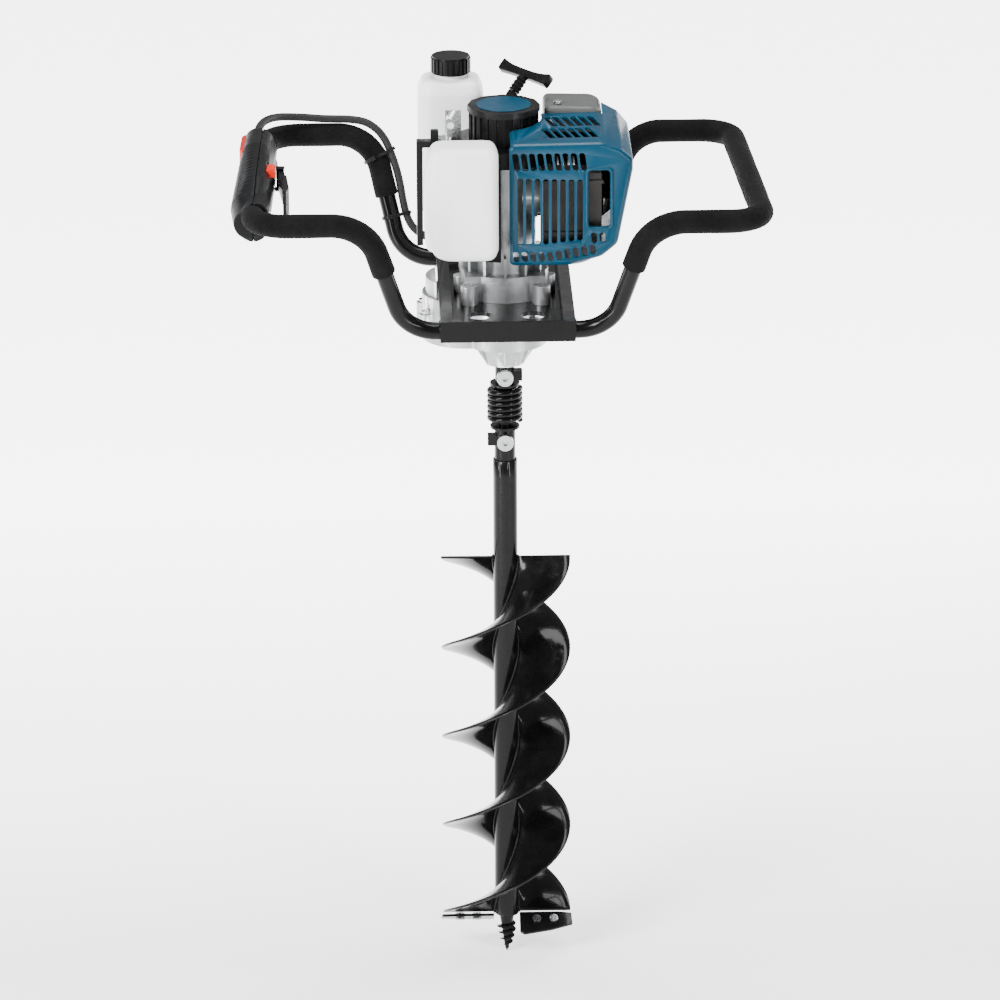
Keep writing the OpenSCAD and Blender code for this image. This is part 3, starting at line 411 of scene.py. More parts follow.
# ---------- routes and sweeps ----------
def unit(v):
    return v / np.linalg.norm(v)


def corner_route(points, radii, bend_step=4.0, straight_step=0.006):
    """Points and directions along straight runs joined by round bends."""
    points = [np.array(p, float) for p in points]
    runs, start = [], points[0]
    out = []
    for i in range(1, len(points) - 1):
        p, q, w, r = points[i - 1], points[i], points[i + 1], radii[i]
        u, v = unit(p - q), unit(w - q)
        half = math.acos(float(u @ v)) / 2
        centre = q + unit(u + v) * r / math.sin(half)
        first = q + u * r / math.tan(half)
        runs.append((start, first))
        x, y = unit(first - centre), -u
        turn = math.pi - 2 * half
        n = max(2, round(math.degrees(turn) / bend_step))
        bend = [(centre + r * (math.cos(a) * x + math.sin(a) * y),
                 math.cos(a) * y - math.sin(a) * x) for a in (turn * k / n for k in range(n + 1))]
        out += straight(start, first, straight_step)[:-1] + bend
        start = bend[-1][0]
        out.pop()
    out += straight(start, points[-1], straight_step)
    return out


def straight(a, b, step):
    n = max(1, round(np.linalg.norm(b - a) / step))
    d = unit(b - a)
    return [(a + (b - a) * k / n, d) for k in range(n + 1)]


def smooth_route(points, step=0.002):
    """Points and directions along a smooth curve through the given points."""
    p = [np.array(q, float) for q in points]
    p = [2 * p[0] - p[1]] + p + [2 * p[-1] - p[-2]]
    fine = []
    for i in range(1, len(p) - 2):
        a, b, c, d = p[i - 1:i + 3]
        n = max(2, round(np.linalg.norm(c - b) / step))
        for k in range(n):
            t = k / n
            fine.append(0.5 * (2 * b + (c - a) * t + (2 * a - 5 * b + 4 * c - d) * t * t
                               + (3 * b - a - 3 * c + d) * t ** 3))
    fine.append(p[-2])
    n = len(fine)
    return [(fine[i], unit(fine[min(i + 1, n - 1)] - fine[max(i - 1, 0)])) for i in range(n)]


def lengths(route):
    out = [0.0]
    for (a, _), (b, _) in zip(route, route[1:]):
        out.append(out[-1] + float(np.linalg.norm(b - a)))
    return out


def sweep(name, route, radius, sides, side=None):
    """Closed tube mesh along a route; radius is a number or a function of the distance along
    it, the total length, the angle round it and the station's index."""
    n, along = len(route), lengths(route)
    s = unit(np.cross(route[0][1], side if side is not None else (0.3, 0.2, 1.0)))
    verts, faces = [], []
    for i, (p, d) in enumerate(route):
        s = unit(s - (s @ d) * d)
        t = np.cross(d, s)
        for k in range(sides):
            a = 2 * math.pi * k / sides
            r = radius(along[i], along[-1], a, i) if callable(radius) else radius
            verts.append(p + r * (math.cos(a) * s + math.sin(a) * t))
    for i in range(n - 1):
        for k in range(sides):
            j = (k + 1) % sides
            faces.append((i * sides + k, i * sides + j, (i + 1) * sides + j,
                          (i + 1) * sides + k))
    faces.append(tuple(range(sides))[::-1])
    faces.append(tuple((n - 1) * sides + k for k in range(sides)))
    return mesh_of(name, verts, faces)


def bead(name, points, r, slot, body, sides=10):
    """A weld bead: a rippled rope of metal along a line."""
    route = smooth_route(points, 0.0007)

    def ripple(s, total, a, i):
        ends = min(1.0, s / (2 * r) + 0.2, (total - s) / (2 * r) + 0.2)
        return r * ends * (0.82 + 0.18 * abs(math.sin(s / (r * 0.62))))
    return link(name, sweep(name, route, ripple, sides), slot, body, 60.0)


# ---------- handle frame ----------
GRIP_Z, LOW_Z = 0.951, 0.8135
GRIP_Y, LOW_Y = 0.181, 0.139
FRONT_X, REAR_X = 0.286, 0.268
FRONT_SHOULDER, REAR_SHOULDER, LOW_BEND = 0.158, 0.148, 0.115
BENDS = (0, 0.047, 0.054, 0.038, 0.038, 0.050, 0.044, 0)
TUBE_R, FOAM_R = 0.010, 0.0135


def loop_points(side):
    return [np.array(p) for p in (
        (0, -LOW_Y, LOW_Z), (side * LOW_BEND, -LOW_Y, LOW_Z),
        (side * FRONT_SHOULDER, -GRIP_Y, GRIP_Z), (side * FRONT_X, -GRIP_Y, GRIP_Z),
        (side * REAR_X, GRIP_Y, GRIP_Z), (side * REAR_SHOULDER, GRIP_Y, GRIP_Z),
        (side * LOW_BEND, LOW_Y, LOW_Z), (0, LOW_Y, LOW_Z))]


def leg_point(side, front, share):
    p = loop_points(side)
    a, b = (p[2], p[1]) if front else (p[5], p[6])
    return a + (b - a) * share


def bar_point(side, y):
    tilt = (FRONT_X - REAR_X) / (2 * GRIP_Y)
    return np.array((side * ((FRONT_X + REAR_X) / 2 - y * tilt), y, GRIP_Z))


def frame_tube(side, node):
    mesh = sweep(node + "_fine", corner_route(loop_points(side), BENDS), TUBE_R, 36)
    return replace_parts(link(node + "_fine", mesh, SLOT_OF[node], BODY_OF[node], 60.0), node)


def foam_radius(route):
    """Radius of a foam sleeve: rounded cut ends, slow waves, creases inside the bends."""
    directions = [d for _, d in route]
    n = len(route)
    curls = [float(np.linalg.norm(directions[min(i + 2, n - 1)] - directions[max(i - 2, 0)]))
             for i in range(n)]

    def radius(s, total, a, i):
        end = min(s, total - s)
        lip = 0.0022
        drop = 0.0 if end > lip else (lip - math.sqrt(max(0.0, lip ** 2 - (lip - end) ** 2)))
        wave = 0.00012 * math.sin(s * 95.0 + 1.7) + 0.00008 * math.sin(s * 41.0 + 2 * a)
        crease = 0.00016 * min(1.0, curls[i] * 4.0) * math.sin(s * 1050.0 + 0.6 * math.sin(3 * a))
        return FOAM_R - 0.0002 - drop * 0.9 + wave + crease
    return radius


def foam_sleeve(name, points, radii):
    route = corner_route(points, radii, bend_step=1.6, straight_step=0.0016)
    return sweep(name, route, foam_radius(route), 44)


def foams():
    p = loop_points(-1)
    front = foam_sleeve("front", [leg_point(-1, True, 0.45), p[2], p[3], bar_point(-1, -0.1415)],
                        (0, 0.054, 0.038, 0))
    rear = foam_sleeve("rear", [bar_point(-1, 0.093), p[4], p[5], leg_point(-1, False, 0.5)],
                       (0, 0.038, 0.050, 0))
    left = link("left_foams_fine", joined([front, rear]), "foam", "head", 50.0)
    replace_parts(left, "left_foams")
    p = loop_points(1)
    run = foam_sleeve("right", [leg_point(1, True, 0.42), p[2], p[3], p[4], p[5],
                                leg_point(1, False, 0.45)], (0, 0.054, 0.038, 0.038, 0.050, 0))
    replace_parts(link("right_foam_fine", run, "foam", "head", 50.0), "right_foam")


def weld_beads():
    rail_edge = 0.076
    for sx in (-1, 1):
        for sy in (-1, 1):
            ring = [(sx * rail_edge, sy * LOW_Y + (TUBE_R + 0.0006) * math.sin(a),
                     LOW_Z + (TUBE_R + 0.0006) * math.cos(a))
                    for a in (math.radians(v) for v in range(-80, 200, 14))]
            bead(f"weld_ring_{'l' if sx < 0 else 'r'}{'f' if sy < 0 else 'b'}", ring, 0.0016,
                 "gloss_black_paint", "head")


# ---------- damper spring and auger ----------
def helix(radius, z0, z1, turns, per_turn=72, phase=0.0):
    n = round(turns * per_turn)
    out = []
    for i in range(n + 1):
        a = phase + 2 * math.pi * turns * i / n
        rise = (z1 - z0) / (2 * math.pi * turns)
        d = unit(np.array((-radius * math.sin(a), radius * math.cos(a), rise)))
        out.append((np.array((radius * math.cos(a), radius * math.sin(a),
                              z0 + (z1 - z0) * i / n)), d))
    return out


def damper_spring():
    low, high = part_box("damper_spring")
    wire = 0.0068
    radius = (high.x - low.x) / 2 - wire / 2 - 0.0001
    mesh = sweep("damper_spring_fine", helix(radius, low.z + wire / 2, high.z - wire / 2, 6),
                 wire / 2, 18)
    piece = link("damper_spring_fine", mesh, "gloss_black_paint", "output", 60.0)
    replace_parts(piece, "damper_spring")
    piece.parent = None
    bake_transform(piece)


def flight_mesh(name, phase, inner, outer, z0, z1, turns, thick):
    """One helical plate with a rounded rim."""
    rim = thick * 0.3
    steps = 9
    radii = [inner + (outer - rim - inner) * k / steps for k in range(steps + 1)]
    half = thick / 2
    section = ([(r, -half) for r in radii] + [(outer, -half + rim), (outer, half - rim)]
               + [(r, half) for r in reversed(radii)])
    n = round(turns * 150)
    verts, faces = [], []
    m = len(section)
    for i in range(n + 1):
        a = phase + 2 * math.pi * turns * i / n
        z = z0 + half + (z1 - z0 - thick) * i / n
        verts += [(r * math.cos(a), r * math.sin(a), z + h) for r, h in section]
    for i in range(n):
        for k in range(m):
            j = (k + 1) % m
            faces.append((i * m + k, i * m + j, (i + 1) * m + j, (i + 1) * m + k))
    faces.append(tuple(range(m)))
    faces.append(tuple(n * m + k for k in range(m))[::-1])
    return mesh_of(name, verts, faces)


def auger():
    low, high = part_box("auger_flights")
    tube_low, tube_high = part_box("auger_tube")
    tube_r = (tube_high.x - tube_low.x) / 2
    outer = (high.x - low.x) / 2
    flights, seams = [], []
    for phase in (0.0, math.pi):
        flights.append(flight_mesh("flight", phase, tube_r - 0.0004, outer, low.z, high.z, 2,
                                   0.003))
        for shift in (-0.0022, 0.0022):
            seam = helix(tube_r + 0.0004, low.z + 0.0015 + shift, high.z - 0.0015 + shift, 2, 130,
                         phase)
            seams.append(sweep("seam", seam, lambda s, t, a, i: 0.0016 * (
                0.8 + 0.2 * abs(math.sin(s * 900.0))), 8))
    mesh = bevelled(joined(flights), 0.0004, 1, 50.0, weighted=False)
    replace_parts(link("auger_flights_fine", mesh, "auger_paint", "auger", 50.0), "auger_flights")
    link("flight_welds", joined(seams), "auger_paint", "auger", 60.0)
    tube_route = straight(np.array((0, 0, tube_low.z)), np.array((0, 0, tube_high.z)), 0.02)
    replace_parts(link("auger_tube_fine", bevelled(sweep("tube", tube_route, tube_r, 64), 0.0009, 2,
                                                 50.0), "auger_paint", "auger"), "auger_tube")


def pilot_point():
    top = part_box("pilot_point")[1].z
    core = [(0.0, 0.0007), (0.004, 0.0022), (0.012, 0.0036), (0.03, 0.0062), (0.04, 0.0078),
            (top, 0.009)]
    route = straight(np.array((0, 0, 0.0)), np.array((0, 0, top)), 0.001)
    levels, sizes = zip(*core)
    stem = sweep("stem", route, lambda s, t, a, i: float(np.interp(s, levels, sizes)), 40)
    turns, n = 4.2, 300
    verts, faces = [], []
    for i in range(n + 1):
        f = i / n
        a, z = 2 * math.pi * turns * f, 0.003 + f * 0.033
        r = float(np.interp(z, levels, sizes))
        fin = (0.0012 + 0.0036 * min(1.0, f * 4, (1 - f) * 6 + 0.2)) * (0.7 + 0.5 * f)
        for rr, h in ((r - 0.0008, -0.0013), (r + fin, 0.0004), (r - 0.0008, 0.0013)):
            verts.append((rr * math.cos(a), rr * math.sin(a), z + h))
    for i in range(n):
        for k in range(3):
            j = (k + 1) % 3
            faces.append((3 * i + k, 3 * i + j, 3 * i + 3 + j, 3 * i + 3 + k))
    faces += [(0, 1, 2), (3 * n + 2, 3 * n + 1, 3 * n)]
    thread = mesh_of("thread", verts, faces)
    piece = link("pilot_point_fine", joined([stem, thread]), "auger_paint", "auger", 45.0)
    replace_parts(piece, "pilot_point")


# ---------- engine cover ----------
def rounded(points, radii, steps=8):
    """A flat outline with each corner turned into an arc."""
    out = []
    n = len(points)
    for i, q in enumerate(points):
        p, w = np.array(points[i - 1], float), np.array(points[(i + 1) % n], float)
        q = np.array(q, float)
        u, v = unit(p - q), unit(w - q)
        half = math.acos(max(-1.0, min(1.0, float(u @ v)))) / 2
        r = radii[i] if hasattr(radii, "__len__") else radii
        reach = r / math.tan(half)
        centre = q + unit(u + v) * r / math.sin(half)
        a0 = math.atan2(*(q + u * reach - centre)[::-1])
        a1 = math.atan2(*(q + v * reach - centre)[::-1])
        turn = (a1 - a0 + math.pi) % (2 * math.pi) - math.pi
        out += [centre + r * np.array((math.cos(a0 + turn * k / steps),
                                       math.sin(a0 + turn * k / steps)))
                for k in range(steps + 1)]
    return out


def inset(points, amount):
    """The outline moved inwards; points run anticlockwise."""
    n = len(points)
    out = []
    for i in range(n):
        d0, d1 = unit(points[i] - points[i - 1]), unit(points[(i + 1) % n] - points[i])
        n0, n1 = np.array((-d0[1], d0[0])), np.array((-d1[1], d1[0]))
        m = n0 + n1
        out.append(points[i] + m * amount / max(0.3, float(m @ n0)))
    return out


def front_solid(outline, y_front, y_rear, fillet, steps=6):
    """Outline in X and Z run along Y, with a round edge at the front."""
    rings = [(y_rear, 0.0), (y_front + fillet, 0.0)]
    for k in range(1, steps + 1):
        a = math.pi / 2 * k / steps
        rings.append((y_front + fillet * (1 - math.sin(a)), fillet * (1 - math.cos(a))))
    verts, faces = [], []
    n = len(outline)
    for y, amount in rings:
        verts += [(p[0], y, p[1]) for p in inset(outline, amount)]
    for i in range(len(rings) - 1):
        for k in range(n):
            j = (k + 1) % n
            faces.append((i * n + k, i * n + j, (i + 1) * n + j, (i + 1) * n + k))
    faces.append(tuple(range(n)))
    faces.append(tuple((len(rings) - 1) * n + k for k in range(n)))
    return mesh_of("solid", verts, faces)


def prism(outline, axis, low, high):
    """Outline in the two other axes, run along the given one."""
    n = len(outline)
    verts = []
    for level in (low, high):
        for p in outline:
            v = [p[0], p[1]]
            v.insert(axis, level)
            verts.append(v)
    faces = [tuple(range(n)), tuple(range(n, 2 * n))]
    faces += [(k, (k + 1) % n, n + (k + 1) % n, n + k) for k in range(n)]
    return mesh_of("prism", verts, faces)


def rectangle(x0, z0, x1, z1):
    return [(x0, z0), (x1, z0), (x1, z1), (x0, z1)]


COVER_OUTLINE = [(0.003, 0.872), (0.072, 0.872), (0.108, 0.882), (0.126, 0.897), (0.143, 0.984),
                 (0.143, 1.000), (0.130, 1.016), (0.108, 1.028), (0.003, 1.026)]
COVER_CORNERS = (0.007, 0.02, 0.02, 0.014, 0.02, 0.010, 0.012, 0.016, 0.009)
WINDOW = (0.093, 0.918, 0.117, 0.984)


def slot_outline(x0, z0, x1, z1, slant=0.0):
    """A slot with round ends, its top shifted sideways by slant."""
    pts = rounded(rectangle(x0, z0, x1, z1), min(x1 - x0, z1 - z0) * 0.42, 4)
    return [(p[0] + slant * (p[1] - z0) / (z1 - z0), p[1]) for p in pts]


def slope_top(mesh, front, rear):
    """Lets the cover's top fall towards the front."""
    for v in mesh.vertices:
        if v.co.z > 0.99:
            share = (v.co.z - 0.99) / 0.036
            v.co.z -= 0.012 * share * max(0.0, min(1.0, (rear - v.co.y) / (rear - front)))


def engine_cover():
    y_front, y_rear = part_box("engine_cover")[0].y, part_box("engine_cover")[1].y
    outline = rounded(COVER_OUTLINE, COVER_CORNERS)
    shell = front_solid(outline, y_front, y_rear, 0.006)
    hollow = front_solid(rounded([(-0.004, 0.8748), (0.0715, 0.8748), (0.1066, 0.8846),
                                  (0.1234, 0.8985), (0.1403, 0.9842), (0.1403, 0.9988),
                                  (0.1287, 1.0135), (0.1076, 1.0252), (-0.004, 1.0232)],
                                 0.0045), y_front + 0.003, y_rear + 0.01, 0.0035)
    for mesh in (shell, hollow):
        slope_top(mesh, y_front, 0.008)
    near, far = y_front - 0.01, y_front + 0.02
    slots = []
    for i in range(9):
        x = 0.0095 + i * 0.0094
        slots.append(prism(slot_outline(x, 0.984, x + 0.0068, 1.0045, -0.003), 1, near, far))
    for i in range(8):
        x = 0.0128 + i * 0.0096
        top = 0.9755 - i * 0.0003
        low = 0.8975 + max(0, i - 3) * 0.0011
        slots.append(prism(slot_outline(x, low, x + 0.0064, top), 1, near, far))
    for i in range(10):
        x = 0.009 + i * 0.0096
        low = 0.8775 + max(0, i - 4) * 0.0016
        slots.append(prism(slot_outline(x, low, x + 0.0066, low + 0.0115, -0.002), 1, near, far))
    for i in range(2):
        x = 0.0965 + i * 0.0095
        slots.append(prism(slot_outline(x, 0.8985 + i * 0.001, x + 0.0062, 0.911, -0.001), 1,
                           near, far))
    slots.append(prism(rounded(rectangle(*WINDOW), 0.004, 6), 1, near, far))
    tops = []
    for j in range(2):
        for i in range(6):
            x, y = 0.050 + i * 0.0096 + j * 0.004, -0.068 + j * 0.035
            skew = [(x, y), (x + 0.0074, y), (x - 0.0026, y + 0.029), (x - 0.01, y + 0.029)]
            tops.append(prism(rounded(skew, 0.0012, 3), 2, 0.995, 1.05))
    ring = [(0.0612 * math.cos(a), 0.0612 * math.sin(a)) for a in
            (2 * math.pi * k / 96 for k in range(96))]
    neck = [(p[0] * 0.043 / 0.0612, p[1] * 0.043 / 0.0612) for p in ring]
    cutters = [hollow, joined(slots), joined(tops), prism(ring, 2, 0.86, 0.997),
               prism(neck, 2, 0.99, 1.06),
               prism(rectangle(-0.005, 0.008, 0.112, 0.07), 2, 0.9985, 1.05)]
    mesh = cut(shell, cutters)
    bm = bmesh.new()
    bm.from_mesh(mesh)
    bmesh.ops.remove_doubles(bm, verts=bm.verts, dist=1e-6)
    bmesh.ops.dissolve_limit(bm, angle_limit=math.radians(0.5), verts=bm.verts, edges=bm.edges)
    bm.to_mesh(mesh)
    bm.free()
    mesh = bevelled(mesh, 0.00045, 2, 40.0)
    piece = link("engine_cover_fine", mesh, "blue_plastic", "head", 35.0)
    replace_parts(piece, "engine_cover")
    trim_lines(y_front)


def rim(name, outline, y, r, slot="blue_plastic"):
    """A raised round bead that follows a closed outline on the cover's front."""
    pts = [np.array((p[0], y, p[1])) for p in outline]
    n = len(pts)
    verts, faces, sides = [], [], 10
    for i in range(n):
        d = unit(pts[(i + 1) % n] - pts[i - 1])
        side = np.array((-d[2], 0.0, d[0]))
        for k in range(sides):
            a = 2 * math.pi * k / sides
            verts.append(pts[i] + r * (math.cos(a) * side + math.sin(a) * np.array((0, 1.0, 0))))
    for i in range(n):
        for k in range(sides):
            j = (k + 1) % sides
            q = (i + 1) % n
            faces.append((i * sides + k, i * sides + j, q * sides + j, q * sides + k))
    return link(name, mesh_of(name, verts, faces), slot, "head", 60.0)


def trim_lines(y_front):
    """Raised rim round the plug window."""
    x0, z0, x1, z1 = WINDOW
    rim("window_rim", rounded(rectangle(x0 - 0.002, z0 - 0.002, x1 + 0.002, z1 + 0.002), 0.005, 6),
        y_front + 0.0002, 0.0019)


def top_cover():
    """Cap over the carburettor: round corners, a soft top edge and a sunk screw seat."""
    low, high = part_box("top_cover")
    corners = rounded(rectangle(low.x, low.y, high.x, high.y), (0.008, 0.014, 0.014, 0.008), 8)
    flat = [Vector((p[0], p[1], 0)) for p in corners]
    rings = [(low.z, 0.0), (high.z - 0.006, 0.0)]
    rings += [(high.z - 0.006 * (1 - math.sin(a)), 0.006 * (1 - math.cos(a)))
              for a in (math.pi / 2 * k / 6 for k in range(1, 7))]
    n = len(flat)
    verts, faces = [], []
    for z, amount in rings:
        # the right side falls away towards the cover
        for p in inset([np.array((v.x, v.y)) for v in flat], amount):
            drop = 0.005 * max(0.0, (p[0] - low.x) / (high.x - low.x) - 0.55) ** 2 * 4
            verts.append((p[0], p[1], z - (drop if z > low.z + 0.01 else 0.0)))
    for i in range(len(rings) - 1):
        for k in range(n):
            j = (k + 1) % n
            faces.append((i * n + k, i * n + j, (i + 1) * n + j, (i + 1) * n + k))
    faces.append(tuple(range(n)))
    faces.append(tuple((len(rings) - 1) * n + k for k in range(n)))
    shell = mesh_of("top", verts, faces)
    hollow = prism(inset([np.array((v.x, v.y)) for v in flat], 0.003), 2, low.z - 0.01,
                   high.z - 0.0035)
    hole = sweep("hole", straight(np.array((0.062, 0.022, high.z - 0.006)),
                                  np.array((0.062, 0.022, high.z + 0.01)), 0.004), 0.0026, 24)
    ring = [(0.0612 * math.cos(a), 0.0612 * math.sin(a)) for a in
            (2 * math.pi * k / 96 for k in range(96))]
    grooves = [prism(rounded(rectangle(0.078, y, 0.104, y + 0.0016), 0.0007, 3), 2,
                     high.z - 0.0012, high.z + 0.01) for y in (0.022, 0.028, 0.034, 0.040)]
    mesh = cut(shell, [hollow, hole, prism(ring, 2, 0.98, 0.997), joined(grooves)])
    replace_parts(link("top_cover_fine", mesh, "grey_plastic", "head", 35.0), "top_cover")


# ---------- tank ----------
def rounded_block(low, high, r, cuts=10):
    """Box with round edges and corners."""
    low, high = np.array(low, float), np.array(high, float)
    bm = bmesh.new()
    bmesh.ops.create_cube(bm, size=2.0)
    bmesh.ops.subdivide_edges(bm, edges=bm.edges, cuts=cuts, use_grid_fill=True)
    centre, half = (low + high) / 2, (high - low) / 2
    for v in bm.verts:
        q = np.array(v.co) * half
        core = np.clip(q, -(half - r), half - r)
        d = q - core
        length = np.linalg.norm(d)
        if length > 1e-9:
            q = core + d / length * r
        v.co = Vector(centre + q)
    mesh = bpy.data.meshes.new("block")
    bm.to_mesh(mesh)
    bm.free()
    return mesh


def fuel_tank():
    low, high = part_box("fuel_tank")
    front = rounded_block((low.x + 0.004, low.y, low.z), (high.x, low.y + 0.056, 1.018), 0.013)
    bridge = rounded_block((low.x + 0.005, low.y + 0.03, low.z + 0.002), (-0.066, 0.07, 0.948),
                           0.009)
    rear = rounded_block((low.x, 0.057, low.z), (-0.021, high.y, 1.046), 0.016)
    for v in front.vertices:
        # the lobe's left side leans in towards the top and its foot is cut away at the left
        lift = (v.co.z - low.z) / 0.132
        if v.co.x < -0.05:
            v.co.x += 0.006 * (lift - 0.5) ** 2 * 4
        if v.co.z < low.z + 0.03 and v.co.x < -0.06:
            v.co.z += 0.012 * ((-0.06 - v.co.x) / 0.032) ** 2
    neck_route = straight(np.array((-0.058, 0.088, 1.035)), np.array((-0.058, 0.088, 1.0555)), 0.002)
    neck = sweep("neck", neck_route, 0.0168, 48)
    mesh = remeshed(joined([front, bridge, rear, neck]), 0.0017, 7)
    seam_y = (low.y + low.y + 0.056) / 2
    for v in mesh.vertices:
        for plane in (seam_y, 0.0905):
            gap = abs(v.co.y - plane)
            if gap < 0.0016 and v.co.z < 1.03:
                v.co += Vector(v.normal) * 0.0005 * (1 - gap / 0.0016)
    piece = link("fuel_tank_fine", mesh, "tank_plastic", "head", 80.0)
    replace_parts(piece, "fuel_tank")


# ---------- grip ----------
BAR_TILT = math.atan((FRONT_X - REAR_X) / (2 * GRIP_Y))
BAR_PLACE = (Matrix.Translation((-(FRONT_X + REAR_X) / 2, 0, GRIP_Z))
             @ Matrix.Rotation(-BAR_TILT, 4, "Z"))


RIB_PITCH = 0.0085
RIB_DEPTH = 0.0006
SCREW_R = 0.0034
SCREW_H = 0.0016


def on_bar(point):
    return np.array(BAR_PLACE @ Vector(point))


def grip_housing():
    """Two soft moulded halves, with grip ribs sunk in the outer one and screws in the inner."""
    for node in ("housing_outer", "housing_inner"):
        mesh = remeshed(copy_of(node), 0.0011, 5)
        outer = node == "housing_outer"
        for v in mesh.vertices:
            spot = BAR_PLACE.inverted() @ v.co
            reach = math.hypot(spot.x, spot.z + 0.002)
            if outer and reach > 0.0145 and -0.11 < spot.y < 0.0 and spot.x < -0.006:
                v.co -= v.normal * RIB_DEPTH * max(0.0, math.sin(spot.y * 2 * math.pi / RIB_PITCH))
        piece = link(node + "_fine", mesh, "grip_plastic", "head", 60.0)
        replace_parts(piece, node)
    tree = BVHTree.FromObject(bpy.data.objects["housing_inner_fine"],
                              bpy.context.evaluated_depsgraph_get())
    towards_bar = BAR_PLACE.to_3x3() @ Vector((-1, 0, 0))
    heads = []
    for y in (-0.118, -0.02, 0.068):
        start = on_bar((0.05, y, -0.004))
        spot, normal = tree.ray_cast(Vector(start), towards_bar)[:2]
        if spot is not None:
            heads.append(screw_head(spot, normal, SCREW_R, SCREW_H))
    link("grip_screws", joined(heads), "zinc_steel", "head", 30.0)


def screw_head(spot, normal, r, h):
    """Pan head with a cross recess, its base on a surface."""
    z = unit(np.array(normal))
    x = unit(np.cross(z, (0.3, 0.2, 0.9)))
    y = np.cross(z, x)
    profile = [(r, -0.001), (r, h * 0.35), (r * 0.9, h * 0.75), (r * 0.6, h), (0.0002, h)]
    verts, faces, n = [], [], 28
    for rr, level in profile:
        verts += [np.array(spot) + rr * (math.cos(a) * x + math.sin(a) * y) + level * z
                  for a in (2 * math.pi * k / n for k in range(n))]
    for i in range(len(profile) - 1):
        faces += [(i * n + k, i * n + (k + 1) % n, (i + 1) * n + (k + 1) % n, (i + 1) * n + k)
                  for k in range(n)]
    faces += [tuple(range(n)), tuple((len(profile) - 1) * n + k for k in range(n))]
    head = mesh_of("head", verts, faces)
    bars = []
    for a, b in ((x, y), (y, x)):
        low, high = np.array(spot) + z * (h * 0.45), np.array(spot) + z * (h * 1.5)
        corners = [p + sa * a * r * 0.6 + sb * b * r * 0.13 for p in (low, high)
                   for sa, sb in ((-1, -1), (1, -1), (1, 1), (-1, 1))]
        bars.append(mesh_of("slot", corners, [(0, 1, 2, 3), (4, 5, 6, 7), (0, 1, 5, 4),
                                              (1, 2, 6, 5), (2, 3, 7, 6), (3, 0, 4, 7)]))
    return cut(head, bars)


# ---------- starter handle ----------
PULL = unit(np.array((0.55, 0.47, 0.69)))
MOUTH = np.array((0.012, 0.048, 1.037))
BAR = unit(np.array((0.7, -0.7, -0.081)))


def starter_handle():
    """T-handle: ribbed stem and a flared bar with two finger recesses."""
    top = MOUTH + 0.026 * PULL * np.linalg.norm((0.55, 0.47, 0.69))
    across = unit(np.cross(BAR, PULL))
    n, sides = 60, 28
    verts, faces = [], []
    for i in range(n + 1):
        f = 2 * i / n - 1
        flare = abs(f) ** 3
        high = 0.0048 + 0.0026 * flare
        wide = 0.0054 + 0.0012 * flare
        cap = 1.0 if abs(f) < 0.97 else math.sqrt(max(0.0, 1 - ((abs(f) - 0.97) / 0.03) ** 2) * 0.6
                                                  + 0.4)
        centre = top + BAR * 0.036 * f + PULL * (0.0016 * flare)
        for k in range(sides):
            a = 2 * math.pi * k / sides
            c, s = math.cos(a), math.sin(a)
            e = 0.34
            x = math.copysign(abs(c) ** e, c) * wide * cap
            y = math.copysign(abs(s) ** e, s) * high * cap
            verts.append(centre + across * x + PULL * y)
    for i in range(n):
        for k in range(sides):
            j = (k + 1) % sides
            faces.append((i * sides + k, i * sides + j, (i + 1) * sides + j,
                          (i + 1) * sides + k))
    faces.append(tuple(range(sides)))
    faces.append(tuple(n * sides + k for k in range(sides)))
    bar = mesh_of("bar", verts, faces)
    stem_route = straight(MOUTH + 0.0012 * PULL, top, 0.0005)

    def stem_radius(s, total, a, i):
        rib = 0.0009 if (s % 0.005) < 0.0026 and 0.001 < s < 0.019 else 0.0
        return 0.0052 + 0.0008 * (1 - s / total) + rib
    stem = sweep("stem", stem_route, stem_radius, 32)
    pockets = []
    for s in (-1, 1):
        mid = top + BAR * 0.017 * s + PULL * 0.0062
        ends = [mid - BAR * 0.008, mid + BAR * 0.008]
        pockets.append(sweep("pocket", straight(ends[0], ends[1], 0.002), 0.0021, 16))
    bar = cut(bar, [joined(pockets)])
    piece = link("starter_handle_fine", joined([bar, stem]), "black_plastic", "handle", 38.0)
    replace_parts(piece, "starter_handle")


def pulled_rope():
    """The run of rope between the guide and the handle, drawn out as the handle is pulled."""
    end = MOUTH + 0.022 * PULL
    mesh = sweep("pulled_rope", straight(MOUTH, end, 0.0005), 0.0017, 20)
    piece = link("pulled_rope", mesh, "rope", "head", 60.0)
    piece.parent = None
    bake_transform(piece)


# ---------- cable ----------
CABLE_ROUTE = [
    (-279, 82.5, 980), (-278, 97, 984), (-273, 118, 985), (-265, 138, 983.5),
    (-254, 153, 981), (-241, 165, 977.5), (-224, 174, 974), (-206, 179, 971),
    (-190, 181, 969.8), (-172, 181, 969), (-156, 180, 966), (-144, 178, 959),
    (-135, 176, 949), (-128.2, 171.6, 936.2), (-121, 166, 916.5), (-116.4, 161.4, 898),
    (-113, 156.8, 878.6), (-109, 152, 862), (-103, 148, 850), (-93, 145, 841),
    (-80, 143, 836), (-62, 142, 833), (-40, 141, 832), (-20, 138, 833), (-2, 131, 839),
    (10, 121, 852), (16, 112, 870), (18, 104, 888), (17, 99, 905), (16, 93, 922),
    (16, 84, 938), (18, 76, 947), (21, 70, 951)]


def throttle_cable():
    route = smooth_route([np.array(p) * MM for p in CABLE_ROUTE], 0.0015)
    mesh = sweep("throttle_cable_fine", route, 0.0045, 24)
    piece = link("throttle_cable_fine", mesh, "seal_rubber", "head", 60.0)
    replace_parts(piece, "throttle_cable")


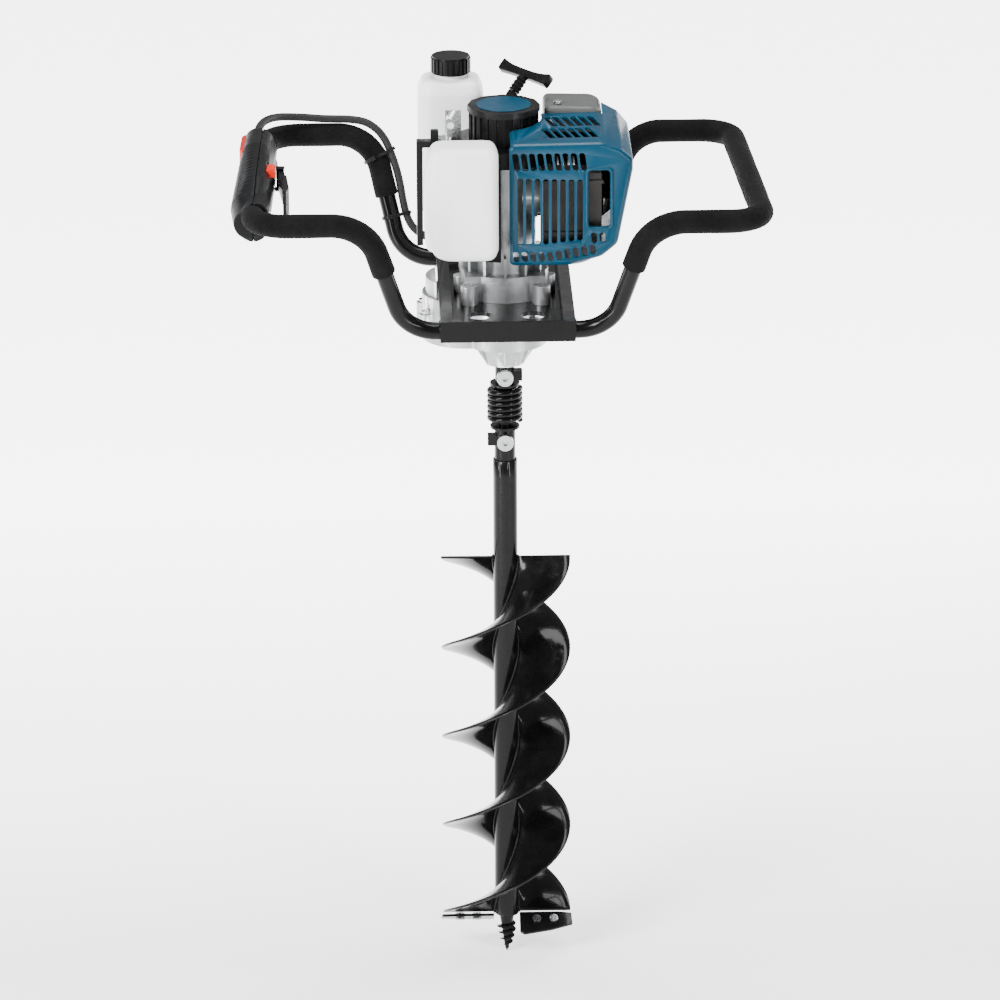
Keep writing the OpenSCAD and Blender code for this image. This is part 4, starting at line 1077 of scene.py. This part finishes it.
# ---------- stage ----------
def glowing_floor():
    """White studio floor with a painted glow: it emits light, more strongly behind the machine, like
    a lit backdrop.
    """
    s = Shader("glowing_floor").set(Roughness=0.8, Specular_IOR_Level=0.1)
    s.base(s.tint(s.span(s.noise(3.0), 0.0, 1.0), (0.95, 0.95, 0.95), (0.935, 0.935, 0.935)))
    split = s.nodes.new("ShaderNodeSeparateXYZ")
    s.links.new(s.place, split.inputs["Vector"])
    # painted glow: emission strength rises from 1 at the front to 5 behind the machine
    glow = s.span(split.outputs["Y"], 1.0, 5.0, 0.0, 1.6)
    s.links.new(glow, s.bsdf.inputs["Emission Strength"])
    s.set(Emission_Color=(1.0, 1.0, 1.0, 1.0))
    return s.material


def stage():
    bm = bmesh.new()
    bmesh.ops.create_grid(bm, x_segments=8, y_segments=8, size=30.0)
    mesh = bpy.data.meshes.new("floor")
    bm.to_mesh(mesh)
    bm.free()
    mesh.materials.append(glowing_floor())
    floor = bpy.data.objects.new("floor", mesh)
    floor.location.z = -0.001
    bpy.context.scene.collection.objects.link(floor)


def area_light(name, place, aim, size, power, color=(1, 1, 1)):
    data = bpy.data.lights.new(name, "AREA")
    data.shape, data.size, data.size_y = "RECTANGLE", size[0], size[1]
    data.energy, data.color = power, color
    light = bpy.data.objects.new(name, data)
    light.location = place
    light.rotation_euler = (Vector(aim) - Vector(place)).to_track_quat("-Z", "Y").to_euler()
    bpy.context.scene.collection.objects.link(light)


def lights():
    world = bpy.data.worlds.new("world")
    world.use_nodes = True
    world.node_tree.nodes["Background"].inputs["Color"].default_value = (1, 1, 1, 1)
    world.node_tree.nodes["Background"].inputs["Strength"].default_value = 0.45
    bpy.context.scene.world = world
    middle = (0, 0, 0.6)
    area_light("key", (-1.9, -2.4, 2.6), middle, (1.1, 1.3), 190)
    area_light("top", (0.3, 0.2, 2.9), middle, (1.4, 1.2), 70)
    area_light("strip_left", (-1.7, -1.3, 0.8), middle, (0.25, 1.9), 45)
    area_light("strip_right", (1.5, -1.9, 0.9), middle, (0.2, 1.9), 36)
    area_light("rim_left", (-2.0, 1.5, 1.5), middle, (0.4, 1.8), 30)
    area_light("rim_right", (2.0, 1.6, 1.7), middle, (0.4, 1.8), 30)


# ---------- build ----------
for node, obj in NODES.items():
    obj.data.materials.clear()
    obj.data.materials.append(MATERIALS[SLOT_OF[node]])
    obj.data.shade_smooth()
    obj.data.set_sharp_from_angle(angle=math.radians(35))

frame_tube(-1, "left_frame_tube")
frame_tube(1, "right_frame_tube")
foams()
weld_beads()
damper_spring()
auger()
pilot_point()
engine_cover()
top_cover()
fuel_tank()
grip_housing()
starter_handle()
pulled_rope()
throttle_cable()
for node, width in {
        "engine_plate": 0.0012, "throttle_trigger": 0.0016, "lockout_lever": 0.0012,
        "stop_switch": 0.0006, "cable_ties": 0.0003, "upper_gear_case": 0.0011,
        "lower_gear_case": 0.0011, "clutch_housing": 0.0012, "crankcase": 0.0009,
        "cylinder_block": 0.0004, "plug_boot": 0.0006, "muffler": 0.0012, "carburettor": 0.0008,
        "air_filter_box": 0.0025, "choke_lever": 0.0008, "fan_shroud": 0.0008,
        "screws": 0.0005, "starter_housing": 0.0008,
        "starter_badge": 0.0003, "fuel_cap": 0.0007, "tank_strap": 0.0012,
        "tank_bracket": 0.0006, "upper_socket": 0.0007, "lower_socket": 0.0007,
        "upper_bolt": 0.0006, "auger_bolts": 0.0006, "cutting_blades": 0.0006}.items():
    refine(node, width, slot="zinc_steel" if node == "tank_bracket" else None)
stage()
lights()
